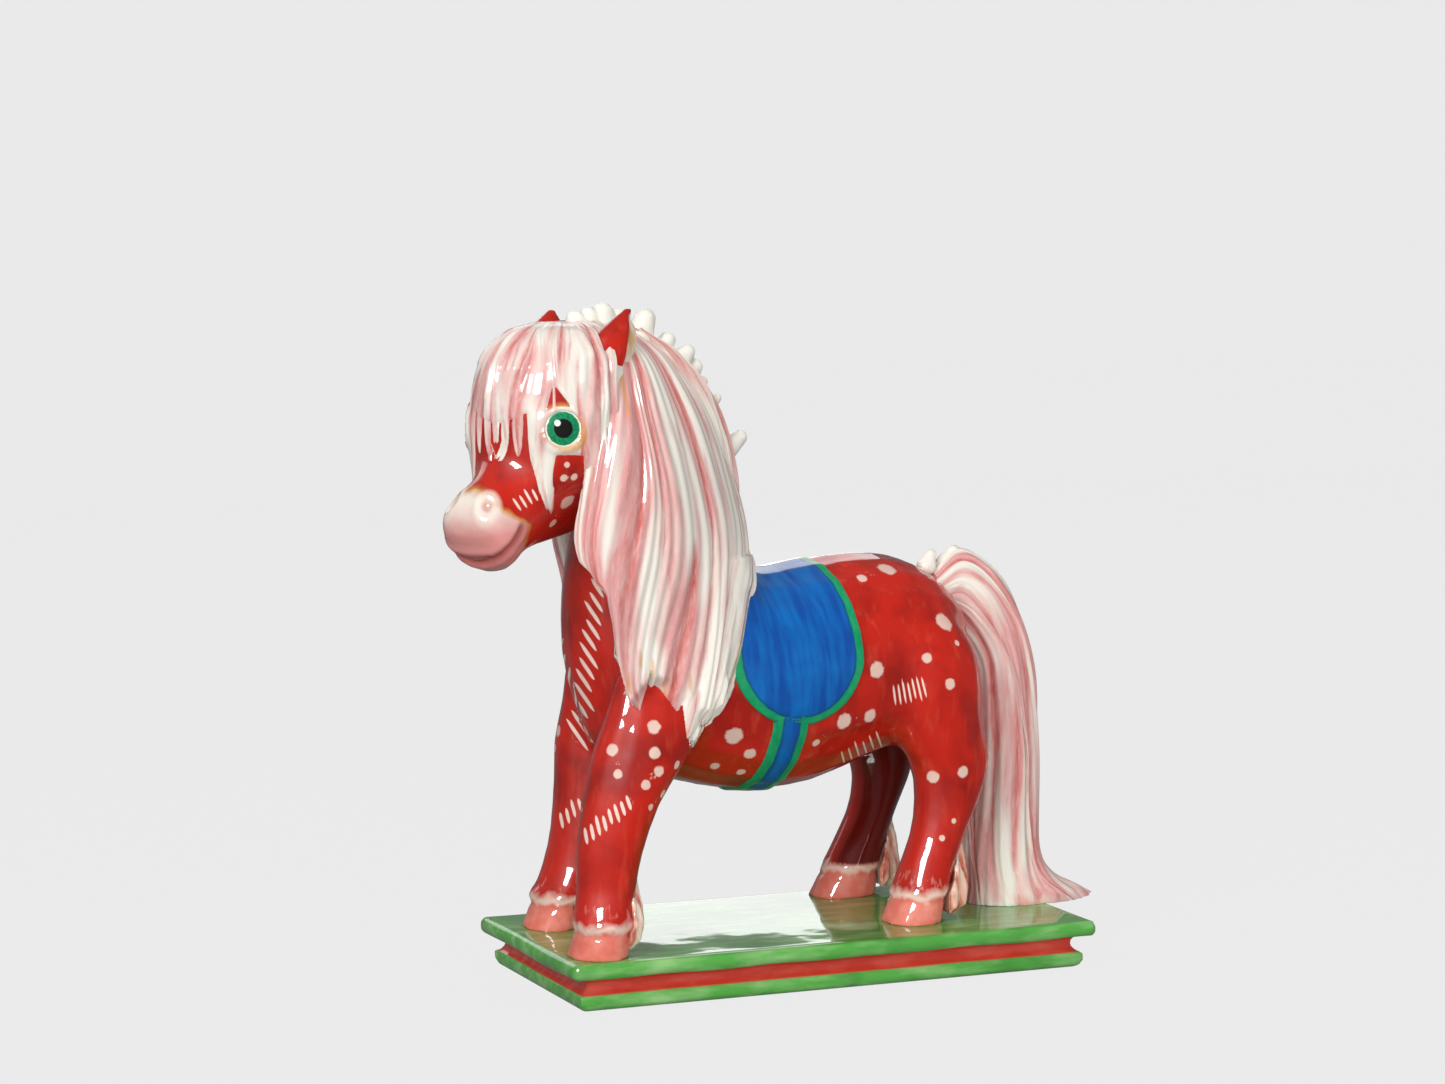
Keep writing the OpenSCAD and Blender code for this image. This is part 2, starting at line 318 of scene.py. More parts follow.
def relaxed(mesh: Mesh, points: np.ndarray, passes: int, hold: float = 0.53,
            share: np.ndarray | None = None) -> np.ndarray:
    """Points smoothed along the edges of a mesh, as a wet sponge does it.

    Args:
        mesh: Mesh that gives the edges.
        points: Places in mm.
        passes: How many times the sponge passes.
        hold: Strength of the push back that keeps a form's size, 0 for none.
        share: Strength at each vertex from 0 to 1, full if left out.

    Returns:
        The new places in mm.
    """
    a, b = edge_ends(mesh).T
    here, there = np.concatenate((a, b)), np.concatenate((b, a))
    count = np.maximum(np.bincount(here, minlength=len(points)), 1)[:, None]
    weight = 1.0 if share is None else share[:, None]
    for _ in range(passes):
        for step in (0.5, -hold) if hold else (0.5,):
            total = np.stack([np.bincount(here, points[there, k], len(points)) for k in range(3)], axis=1)
            points = points + step * weight * (total / count - points)
    return points


def store(mesh: Mesh, name: str, values: np.ndarray) -> None:
    """Keep one number or vector for each vertex as a named attribute for the paint."""
    kind, key = ("FLOAT", "value") if values.ndim == 1 else ("FLOAT_VECTOR", "vector")
    kept = mesh.attributes.new(name, kind, "POINT")
    kept.data.foreach_set(key, np.ascontiguousarray(values, float).ravel())


def store_hollows(mesh: Mesh) -> None:
    """Keep how far each vertex lies in a hollow, as mm below its smoothed place; the paint darkens it there,
    partly as glaze that pools and partly as painted shade.
    """
    points = coords(mesh)
    store(mesh, "hollow", np.einsum("ij,ij->i", relaxed(mesh, points, 8, 0.0) - points, normals(mesh)))


def finish_piece(name: str, mesh: Mesh, finish: Material, stands_for: Sequence[str]) -> None:
    """Make a mesh one piece of the figure.

    Args:
        name: Name of the piece.
        mesh: Finished mesh, in metres.
        finish: Its material.
        stands_for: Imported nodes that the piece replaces.
    """
    mesh.name = name
    mesh.materials.clear()
    mesh.materials.append(finish)
    mesh.polygons.foreach_set("use_smooth", np.ones(len(mesh.polygons), bool))
    piece = bpy.data.objects.new(name, mesh)
    bpy.context.collection.objects.link(piece)
    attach(piece, "root")
    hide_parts(*stands_for)
    LOG.info("%s: %d faces for %s", name, len(mesh.polygons), ", ".join(stands_for))


# distance of the figure from the viewpoint in metres, and mm that clear the clay and the whole figure
FIGURE_AWAY = 1.2
CLEAR_MM = 1.5
OUTSIDE_MM = 200.0


class Surface:
    """Finished clay that other pieces and paint are set on."""

    def __init__(self, mesh: Mesh) -> None:
        """Index the faces of a mesh for quick searches."""
        bm = bmesh.new()
        bm.from_mesh(mesh)
        self.tree = BVHTree.FromBMesh(bm)
        bm.free()

    def seen(self, pixel: Sequence[float]) -> np.ndarray:
        """Place in mm where a pixel of the photograph meets the clay, or comes near it."""
        start, way = VIEW.ray(pixel)
        hit = self.tree.ray_cast(start, way)[0]
        if hit is None:
            hit = self.tree.find_nearest(start + way * FIGURE_AWAY)[0]
        return np.array(hit) / MM

    def open_to(self, point: np.ndarray, eye: Sequence[float]) -> bool:
        """Whether nothing stands between a place on the clay and a viewpoint, both in mm."""
        way = (Vector(eye) - Vector(point)).normalized()
        return self.tree.ray_cast((Vector(point) + way * CLEAR_MM) * MM, way)[0] is None

    def met(self, start: np.ndarray, way: np.ndarray) -> tuple[np.ndarray, np.ndarray]:
        """Last crossing of a line with the clay: place in mm and outward direction."""
        far = Vector(start + way * OUTSIDE_MM) * MM
        hit, normal, _, _ = self.tree.ray_cast(far, -Vector(way))
        if hit is None:
            hit, normal, _, _ = self.tree.find_nearest(Vector(start) * MM)
        return np.array(hit) / MM, np.array(normal)

    def nearest(self, points: np.ndarray) -> tuple[np.ndarray, np.ndarray, np.ndarray]:
        """Nearest places in mm, their outward directions, and signed gaps in mm."""
        found = [self.tree.find_nearest(Vector(p) * MM)[:2] for p in points]
        places = np.array([f[0] for f in found]) / MM
        ways = np.array([f[1] for f in found])
        gap = lengths(points - places) * np.sign(np.einsum("ij,ij->i", points - places, ways))
        return places, ways, gap


# Glazes

# a colour in a node tree or an sRGB hex value, and a painted colour with its relief if there is any
Paint = NodeSocket | str
Painted = tuple[NodeSocket, NodeSocket | None]


def linear(colour: str) -> tuple[float, float, float, float]:
    """Linear colour with full alpha of an sRGB hex value."""
    parts = [int(colour[i:i + 2], 16) / 255 for i in (1, 3, 5)]
    return tuple(p / 12.92 if p <= 0.04045 else ((p + 0.055) / 1.055) ** 2.4 for p in parts) + (1.0,)


def put(tree: NodeTree, kind: str, inputs: dict[Any, Any] | None = None, out: Any = 0,
        **settings: Any) -> NodeSocket:
    """Add a node with its settings and links.

    Args:
        tree: Node tree of a material.
        kind: Node type without the words ShaderNode.
        inputs: A value, or a socket to link, for each input by its name or number.
        out: Name or number of the output that is wanted.
        **settings: Properties of the node.

    Returns:
        The output socket, or the node's first input where it has no output.
    """
    node = tree.nodes.new("ShaderNode" + kind)
    for key, value in settings.items():
        setattr(node, key, value)
    for key, value in (inputs or {}).items():
        if isinstance(value, NodeSocket):
            tree.links.new(value, node.inputs[key])
        else:
            node.inputs[key].default_value = value
    return node.outputs[out] if node.outputs else node.inputs[0]


def stored(tree: NodeTree, name: str, out: str = "Fac") -> NodeSocket:
    """Number or vector that a mesh keeps for each vertex."""
    return put(tree, "Attribute", out=out, attribute_name=name)


def on_clay(tree: NodeTree) -> NodeSocket:
    """Place on the clay, in metres."""
    return put(tree, "TexCoord", out="Object")


def height_of(tree: NodeTree, vector: NodeSocket) -> NodeSocket:
    """Third part of a vector."""
    return put(tree, "SeparateXYZ", {0: vector}, out=2)


def length_of(tree: NodeTree, vector: NodeSocket) -> NodeSocket:
    """Length of a vector."""
    return put(tree, "VectorMath", {0: vector}, out="Value", operation="LENGTH")


def mottle(tree: NodeTree, where: NodeSocket, size: float, detail: float, twist: float = 0.0) -> NodeSocket:
    """Noise from 0 to 1 with patches of a size, in the unit of the places."""
    return put(tree, "TexNoise", {"Vector": where, "Scale": 1 / size, "Detail": detail, "Distortion": twist})


def calc(tree: NodeTree, operation: str, *values: NodeSocket | float) -> NodeSocket:
    """Result of a sum with sockets and numbers."""
    return put(tree, "Math", dict(enumerate(values)), operation=operation)


def ramp(tree: NodeTree, value: NodeSocket, start: float, end: float, top: float = 1.0,
         base: float = 0.0) -> NodeSocket:
    """Share that runs from base, where a value is at start, to top, where it is at end."""
    return put(tree, "MapRange", {"Value": value, 1: start, 2: end, 3: base, 4: top})


def blend(tree: NodeTree, share: NodeSocket, under: Paint, over: Paint) -> NodeSocket:
    """One colour laid over another by a share."""
    below, above = (linear(paint) if isinstance(paint, str) else paint for paint in (under, over))
    return put(tree, "Mix", {0: share, 6: below, 7: above}, out=2, data_type="RGBA")


def coated(tree: NodeTree, colour: Paint, *coats: tuple[NodeSocket, float, float, float, Paint]) -> Paint:
    """Coats of paint laid over a colour.

    Args:
        tree: Node tree of a material.
        colour: Colour below.
        *coats: For each coat the value that rules it, where it starts, where it is full, how much it
            covers there, and its colour.

    Returns:
        The colour that is seen.
    """
    for value, start, end, top, over in coats:
        colour = blend(tree, ramp(tree, value, start, end, top), colour, over)
    return colour


@dataclass(frozen=True)
class Glaze:
    """Underglaze paint on fired clay below one clear glaze, dipped and fired glossy.

    The eye sees two surfaces: brushed colour that scatters light, and over it a hard clear skin with
    mirror-sharp highlights that bend a little where the glaze ran.
    """

    name: str
    # matt colour under the glaze
    body_roughness: float = 0.5
    # fired clear glaze
    coat_roughness: float = 0.025
    coat_ior: float = 1.4
    # distance between two swells of the clear skin and their depth
    swell_mm: float = 9.0
    swell_depth_mm: float = 0.03
    # width and depth of the brush marks
    brush_mm: float = 1.1
    brush_depth_mm: float = 0.02

    def paint(self, tree: NodeTree) -> Painted:
        """Colour under the glaze, and extra height of the paint in mm if there is any."""
        raise NotImplementedError

    def build(self) -> Material:
        """New material: painted colour under the clear glaze."""
        made = bpy.data.materials.new(self.name)
        made.use_nodes = True
        made.node_tree.nodes.clear()
        self.fire(made.node_tree, *self.paint(made.node_tree))
        return made

    def fire(self, tree: NodeTree, colour: NodeSocket, relief: NodeSocket | None) -> None:
        """Put the clear glaze over a colour.

        Args:
            tree: Node tree of the material.
            colour: Painted colour.
            relief: Extra height of the paint in mm, if any.
        """
        here = on_clay(tree)
        swell = mottle(tree, here, self.swell_mm * MM, 1.0)
        brush = mottle(tree, here, self.brush_mm * MM, 2.0)
        run = put(tree, "Bump", {"Height": swell, "Distance": self.swell_depth_mm * MM, "Strength": 1.0})
        mark = put(tree, "Bump", {"Height": brush, "Distance": self.brush_depth_mm * MM, "Normal": run,
                                  "Strength": 1.0})
        if relief is not None:
            mark = put(tree, "Bump", {"Height": relief, "Distance": MM, "Normal": mark, "Strength": 1.0})
        shader = put(tree, "BsdfPrincipled", {
            "Base Color": colour, "Roughness": self.body_roughness, "IOR": 1.45, "Specular IOR Level": 0.1,
            "Coat Weight": 1.0, "Coat Roughness": self.coat_roughness, "Coat IOR": self.coat_ior,
            "Normal": mark, "Coat Normal": run})
        put(tree, "OutputMaterial", {"Surface": shader})


@dataclass(frozen=True)
class CoatGlaze(Glaze):
    """Brushed iron-red underglaze with wax-resist marks, pink hooves, dry-brushed cream fetlocks and painted
    shade.
    """

    bright: str = "#C2200F"
    deep: str = "#7E0F09"
    thin: str = "#D0503A"
    dot: str = "#E6C6B7"
    stroke: str = "#F6DDCF"
    hoof: str = "#DC6F5E"
    worn_hoof: str = "#EBA597"
    coronet: str = "#EFD6C6"
    # near-black red of the painted shade on the inner side of the far hind leg
    painted_shade: str = "#4A0C08"
    wash_mm: float = 16.0
    streak_mm: float = 3.2
    # heights where the paint of the hoof and of the coronet ends, and where it is full
    hoof_mm: Pair = (27.9, 26.5)
    coronet_mm: Pair = (31.2, 28.6)

    def ground(self, tree: NodeTree) -> NodeSocket:
        """Red brushed over the body: thinner on ridges, and darker in hollows, where glaze pools and where
        shade is painted.
        """
        here = on_clay(tree)
        wash = mottle(tree, here, self.wash_mm * MM, 3.0, 0.4)
        drawn = put(tree, "Mapping", {"Vector": here, "Rotation": (0.3, 0.5, 0.0), "Scale": (1.0, 1.0, 0.22)})
        streak = mottle(tree, drawn, self.streak_mm * MM, 3.0)
        # the deep red laid by the attribute hollow is partly pooled glaze and partly painted shade
        return coated(
            tree, self.bright, (wash, 0.42, 0.72, 0.75, self.deep), (streak, 0.55, 0.8, 0.42, self.thin),
            (stored(tree, "hollow"), 0.05, 0.5, 0.8, self.deep))

    def marks(self, tree: NodeTree, red: NodeSocket) -> NodeSocket:
        """Dots and strokes left bare by wax, from the attributes dot and stroke."""
        ragged = mottle(tree, on_clay(tree), 1.6 * MM, 2.0)
        reach = calc(tree, "MULTIPLY_ADD", ragged, 0.5, length_of(tree, stored(tree, "dot", "Vector")))
        inside = calc(tree, "MULTIPLY", ramp(tree, reach, 1.38, 1.12, 0.95), stored(tree, "dotted"))
        marked = blend(tree, inside, red, self.dot)
        number, along, gap = put(tree, "SeparateXYZ", {0: stored(tree, "stroke", "Vector")}).node.outputs
        aside = calc(tree, "SUBTRACT", number, calc(tree, "ROUND", number))
        aside = calc(tree, "MULTIPLY", calc(tree, "ABSOLUTE", aside), gap)
        taper = ramp(tree, calc(tree, "POWER", along, 4.0), 0.0, 1.0, -0.35, 1.0)
        width = calc(tree, "MULTIPLY", stored(tree, "stroke_half"), taper)
        left = calc(tree, "SUBTRACT", width, aside)
        return coated(tree, marked, (left, -0.08, 0.14, 0.9, self.stroke))

    def paint(self, tree: NodeTree) -> Painted:
        """Coat of the body and the legs, with hooves by their height, and painted shade on the inner side of
        the far hind leg.
        """
        red = self.marks(tree, self.ground(tree))
        here = on_clay(tree)
        uneven = mottle(tree, here, 5.0 * MM, 2.0)
        height = calc(tree, "MULTIPLY_ADD", uneven, 5.0 * MM, height_of(tree, here))
        nail = coated(tree, self.hoof, (uneven, 0.4, 0.75, 0.5, self.worn_hoof))
        drawn = put(tree, "Mapping", {"Vector": here, "Scale": (1.0, 1.0, 0.16)})
        heel = calc(tree, "MULTIPLY_ADD", mottle(tree, drawn, 2.0 * MM, 3.0), 1.5, stored(tree, "heel"))
        red = coated(
            tree, red, (height, self.coronet_mm[0] * MM, self.coronet_mm[1] * MM, 0.8, self.coronet),
            (height, self.hoof_mm[0] * MM, self.hoof_mm[1] * MM, 1.0, nail),
            (heel, 1.2, 1.7, 0.7, self.coronet))
        # painted shade: the inner side of the far hind leg is darkened as if it lay in shadow
        return blend(tree, stored(tree, "painted_shade"), red, self.painted_shade), None


@dataclass(frozen=True)
class FaceGlaze(CoatGlaze):
    """The coat's red round the eyes and cheeks, with a cream nose and pink lips brushed wet in wet."""

    nose: str = "#EBDFD3"
    # pink of the nostril's hollow, painted darker as shade so that it reads as a hole
    nostril: str = "#CF9C92"
    lip: str = "#DA8F8A"
    # red-brown of the mouth's fold: a painted line, deepened by painted shade in the groove
    crease: str = "#A8463D"
    ochre: str = "#D9A44E"
    rim: str = "#F4EFE4"

    def paint(self, tree: NodeTree) -> Painted:
        """Face painted by the attributes muzzle, lip, crease, nostril and lid."""
        red = self.marks(tree, self.ground(tree))
        uneven = mottle(tree, on_clay(tree), 4.0 * MM, 2.0)
        muzzle = calc(tree, "MULTIPLY_ADD", uneven, 2.4, stored(tree, "muzzle"))
        lip = calc(tree, "MULTIPLY_ADD", uneven, 3.0, stored(tree, "lip"))
        nostril, lid = stored(tree, "nostril"), stored(tree, "lid")
        soft = coated(tree, self.nose, (lip, -1.5, 9.0, 1.0, self.lip))
        face = coated(
            tree, red, (muzzle, -0.6, 0.7, 0.65, self.ochre), (muzzle, 0.5, 2.4, 1.0, soft),
            # the nostril's hollow is darkened with painted shade
            (nostril, 7.0, 5.0, 0.6, self.nose), (nostril, 3.0, 1.6, 0.75, self.nostril),
            # painted mouth line, spread wide and soft as painted shade toward the corner
            (stored(tree, "crease"), 2.8, 0.2, 0.85, self.crease),
            (lid, 8.6, 6.9, 0.75, self.ochre), (lid, 7.2, 6.5, 1.0, self.rim))
        return face, None


@dataclass(frozen=True)
class EarGlaze(CoatGlaze):
    """The coat's red outside, cream and ochre wiped into the hollow of the ear."""

    inner: str = "#EFE6D6"
    ochre: str = "#D6A24A"

    def paint(self, tree: NodeTree) -> Painted:
        """Ear painted by the attribute inner, which runs from 0 outside to 1 in the hollow."""
        red = self.ground(tree)
        patch = mottle(tree, on_clay(tree), 7.0 * MM, 1.0)
        cream = coated(tree, self.inner, (patch, 0.45, 0.65, 0.8, self.ochre))
        return coated(tree, red, (stored(tree, "inner"), 0.3, 0.55, 1.0, cream)), None


@dataclass(frozen=True)
class HairGlaze(Glaze):
    """White slip with pink and red drawn along the locks, wiped off the ridges, ochre at some tips."""

    cream: str = "#EAE4D9"
    pink: str = "#DC9896"
    red: str = "#C4564C"
    ochre: str = "#D39A4C"
    streak_mm: float = 2.6
    # how many times wider the washes are than the streaks, and the streaks than the hairs
    spread: float = 3.4
    pink_share: float = 0.95
    red_share: float = 0.65

    def paint(self, tree: NodeTree) -> Painted:
        """Hair painted by the attributes flow, groove, tint and tip."""
        flow, groove = stored(tree, "flow", "Vector"), stored(tree, "groove")
        broad = mottle(tree, flow, self.spread * self.streak_mm, 2.0)
        fine = mottle(tree, flow, self.streak_mm, 3.0)
        hairs = mottle(tree, flow, self.streak_mm / self.spread, 2.0)
        wash = calc(tree, "MULTIPLY_ADD", groove, 0.16, broad)
        wash = calc(tree, "MULTIPLY_ADD", stored(tree, "tint"), 0.05, wash)
        line = calc(tree, "MULTIPLY_ADD", groove, 0.3, put(tree, "Mix", {0: 0.3, 2: fine, 3: broad}))
        pink, red = 0.2 * self.pink_share, 0.2 * self.red_share
        colour = coated(
            tree, self.cream, (wash, 0.6 - pink, 0.8 - pink, 0.92, self.pink),
            (line, 0.72 - red, 1.0 - red, 0.9, self.red), (hairs, 0.5, 0.75, 0.3, self.cream),
            (stored(tree, "tip"), 0.2, 1.0, 0.65, self.ochre))
        return colour, calc(tree, "MULTIPLY", hairs, 0.04)


@dataclass(frozen=True)
class KnotGlaze(Glaze):
    """Bare white slip under clear glaze: warm grey in the hollows, where glaze pools and where shade is
    painted.
    """

    cream: str = "#EFEBE0"
    # warm grey of pooled glaze and painted shade in the hollows of the knots
    pooled_glaze_and_shade: str = "#B9AC9A"

    def paint(self, tree: NodeTree) -> Painted:
        """Knots with darker hollows: pooled glaze and painted shade."""
        uneven = mottle(tree, on_clay(tree), 4.0 * MM, 2.0)
        depth = calc(tree, "MULTIPLY_ADD", uneven, 0.16, stored(tree, "hollow"))
        return coated(tree, self.cream, (depth, 0.08, 0.34, 0.8, self.pooled_glaze_and_shade)), None


@dataclass(frozen=True)
class EyeGlaze(Glaze):
    """Copper-green iris and black pupil, each one round stroke, with a dot of white for the glint."""

    iris: str = "#0C9460"
    iris_dark: str = "#046A44"
    pupil: str = "#0B0B0C"
    white: str = "#F4F1E8"
    glint: str = "#FFFFFF"
    pupil_mm: float = 3.05
    iris_mm: float = 5.25
    glint_at: Triple = (-1.9, 1.75, 0.0)

    def paint(self, tree: NodeTree) -> Painted:
        """Eye painted by the attribute gaze: mm across and up from the middle of the pupil."""
        gaze = stored(tree, "gaze", "Vector")
        reach = length_of(tree, gaze)
        uneven = mottle(tree, gaze, 1 / 0.9, 3.0)
        wide = calc(tree, "MULTIPLY_ADD", uneven, 0.8, reach)
        aside = put(tree, "VectorMath", {0: gaze, 1: self.glint_at}, operation="SUBTRACT")
        colour = coated(
            tree, self.iris, (uneven, 0.4, 0.65, 1.0, self.iris_dark),
            (wide, self.iris_mm + 0.3, self.iris_mm + 0.6, 1.0, self.white),
            (reach, self.pupil_mm + 0.15, self.pupil_mm - 0.15, 1.0, self.pupil),
            (length_of(tree, aside), 1.15, 0.85, 1.0, self.glint))
        return colour, None


@dataclass(frozen=True)
class ClothGlaze(Glaze):
    """Cobalt blue in broad brush strokes, edged with one stroke of copper green."""

    blue: str = "#01499C"
    pale: str = "#0470BE"
    green: str = "#03915C"
    pale_green: str = "#2BA66F"
    line: str = "#0A4A52"
    border_mm: float = 3.4
    stroke_mm: float = 3.2

    def paint(self, tree: NodeTree) -> Painted:
        """Cloth painted by the attribute weave: mm along the back, mm over it, mm from the edge."""
        weave = stored(tree, "weave", "Vector")
        drawn = put(tree, "VectorMath", {0: weave, 1: (1.0, 0.13, 0.0)}, operation="MULTIPLY")
        strokes = mottle(tree, drawn, self.stroke_mm, 3.0)
        mixed = calc(tree, "MULTIPLY_ADD", mottle(tree, weave, 14.0, 2.0), 0.7, strokes)
        ragged = mottle(tree, weave, 3.0, 2.0)
        inward = calc(tree, "MULTIPLY_ADD", ragged, 0.9, height_of(tree, weave))
        green = coated(tree, self.green, (ragged, 0.35, 0.7, 0.6, self.pale_green))
        colour = coated(
            tree, self.blue, (mixed, 0.7, 1.05, 0.75, self.pale),
            (inward, self.border_mm + 1.3, self.border_mm + 0.7, 0.7, self.line),
            (inward, self.border_mm + 0.5, self.border_mm + 0.1, 1.0, green))
        return colour, None


@dataclass(frozen=True)
class PlinthGlaze(Glaze):
    """Copper-green wash on both slabs, brushed lengthwise, with iron red in the hollow band."""

    green: str = "#55A646"
    pale: str = "#9ACB84"
    deep: str = "#348030"
    red: str = "#C73B2C"
    pale_red: str = "#D8604F"
    band_low_mm: float = 5.2
    band_high_mm: float = 10.8
    stroke_mm: float = 5.0
    wash_mm: float = 22.0

    def paint(self, tree: NodeTree) -> Painted:
        """Plinth painted by height, in strokes along its length."""
        here = on_clay(tree)
        drawn = put(tree, "Mapping", {"Vector": here, "Scale": (0.28, 1.0, 1.0)})
        strokes = mottle(tree, drawn, self.stroke_mm * MM, 4.0)
        wash = mottle(tree, here, self.wash_mm * MM, 2.0)
        height = calc(tree, "MULTIPLY_ADD", strokes, 0.6 * MM, height_of(tree, here))
        above = ramp(tree, height, (self.band_low_mm + 0.1) * MM, (self.band_low_mm + 0.5) * MM)
        below = ramp(tree, height, (self.band_high_mm + 0.5) * MM, (self.band_high_mm + 0.1) * MM)
        light = (strokes, 0.45, 0.7, 0.75)
        colour = coated(tree, self.green, (*light, self.pale), (wash, 0.5, 0.75, 0.7, self.deep))
        band = coated(tree, self.red, (*light, self.pale_red))
        return blend(tree, calc(tree, "MULTIPLY", above, below), colour, band), None


# Pieces of the figure


@dataclass(frozen=True)
class Strokes:
    """A row of short brush strokes: both ends of the first and of the last, as pixels of the photograph."""

    first: tuple[Pair, Pair]
    last: tuple[Pair, Pair]
    count: int
    half_mm: float = 0.6
    # whether the other side has the same row
    paired: bool = True
    # shares of the length by which strokes are shifted, and by which they differ
    shifted: float = 0.07
    uneven: float = 0.14


# value that stands for no mark near, radii within which a dot is kept, share of the line of sight below which
# clay is seen too edge-on for strokes, and mm beyond the middle plane where mirrored strokes start
NO_MARK = 9.0
DOT_REACH = 2.6
GRAZING = 0.12
BEYOND_MM = 2.0


def stroke_field(spots: np.ndarray, row: Strokes) -> tuple[np.ndarray, np.ndarray]:
    """Places of spots in a row of strokes that fans between its first and its last stroke.

    Args:
        spots: Pixels of the photograph.
        row: The row of strokes.

    Returns:
        Number of the stroke, share of its half length and gap between strokes in mm, and which spots
        lie in the row.
    """
    a0, b0, a1, b1 = np.array((*row.first, *row.last), float)
    fan = b1 - b0 - a1 + a0
    s, w = np.full(len(spots), 0.5), np.full(len(spots), 0.5)
    for _ in range(8):
        to_w = b0 - a0 + s[:, None] * fan
        to_s = a1 - a0 + w[:, None] * fan
        here = a0 + s[:, None] * (a1 - a0) + w[:, None] * to_w
        miss = spots - here
        area = to_s[:, 0] * to_w[:, 1] - to_s[:, 1] * to_w[:, 0]
        area = np.where(np.abs(area) < 1e-6, 1e-6, area)
        s = np.clip(s + (miss[:, 0] * to_w[:, 1] - miss[:, 1] * to_w[:, 0]) / area, -3.0, 4.0)
        w = np.clip(w + (to_s[:, 0] * miss[:, 1] - to_s[:, 1] * miss[:, 0]) / area, -3.0, 4.0)
    u = s * (row.count - 1)
    number = np.round(u)
    v = np.abs(2 * (w + row.shifted * np.sin(3.7 * number)) - 1)
    v = v * (1.0 + row.uneven * np.sin(2.1 * number + 0.6))
    square = np.abs(to_s[:, 0] * to_w[:, 1] - to_s[:, 1] * to_w[:, 0]) / lengths(to_w)
    mine = (v < 1.6) & (u > -0.75) & (u < row.count - 0.25)
    return np.stack((u, v, square / (row.count - 1) * PIXEL_MM), axis=1), mine


def paint_marks(mesh: Mesh, surface: Surface, dots: Sequence[Triple],
                rows: Sequence[Strokes], mirror: Placement) -> None:
    """Keep dots and strokes as attributes, on the seen side and mirrored on the other.

    Args:
        mesh: Mesh that is painted.
        surface: The same mesh, indexed.
        dots: Column and row in the photograph, and radius in mm.
        rows: Rows of strokes.
        mirror: Frame whose middle plane mirrors the marks.
    """
    points = coords(mesh)
    spots: list[tuple[np.ndarray, float]] = []
    for column, line, radius in dots:
        centre = surface.seen((column, line))
        other = surface.nearest(mirror.out(mirror.inside(centre[None]) * FLIP))[0][0]
        spots += [(centre, radius), (other, radius)]
    best, owner = np.full(len(points), NO_MARK), np.full(len(points), -1)
    offset = np.zeros((len(points), 3))
    for number, (centre, radius) in enumerate(spots):
        away = (points - centre) / radius
        far = lengths(away)
        near = far < best
        best[near], offset[near], owner[near] = far[near], away[near], number
    ends = edge_ends(mesh)
    between = ends[np.ptp(owner[ends], axis=1) > 0].ravel()
    dotted = np.clip(DOT_REACH - best, 0.0, 1.0)
    dotted[between] *= best[between] < 1.0
    store(mesh, "dot", offset)
    store(mesh, "dotted", dotted)
    strokes, half = np.tile((0.0, NO_MARK, 1.0), (len(points), 1)), np.full(len(points), Strokes.half_mm)
    out, here = normals(mesh), mirror.inside(points)
    turned = mirror.out(here * FLIP)
    turned_out = mirror.out(mirror.inside(points + out) * FLIP) - turned
    sides = ((points, out, here[:, 1] < np.inf), (turned, turned_out, here[:, 1] > BEYOND_MM))
    for row in rows:
        for places, ways, allowed in sides[:2 if row.paired else 1]:
            toward = np.array(VIEW.at) - places
            facing = np.einsum("ij,ij->i", ways, toward) > GRAZING * lengths(toward)
            field_of, mine = stroke_field(VIEW.pixels(places), row)
            mine &= facing & allowed
            if places is points:
                mine[mine] = [surface.open_to(p, VIEW.at) for p in points[mine]]
            strokes[mine], half[mine] = field_of[mine], row.half_mm
    store(mesh, "stroke", strokes)
    store(mesh, "stroke_half", half)


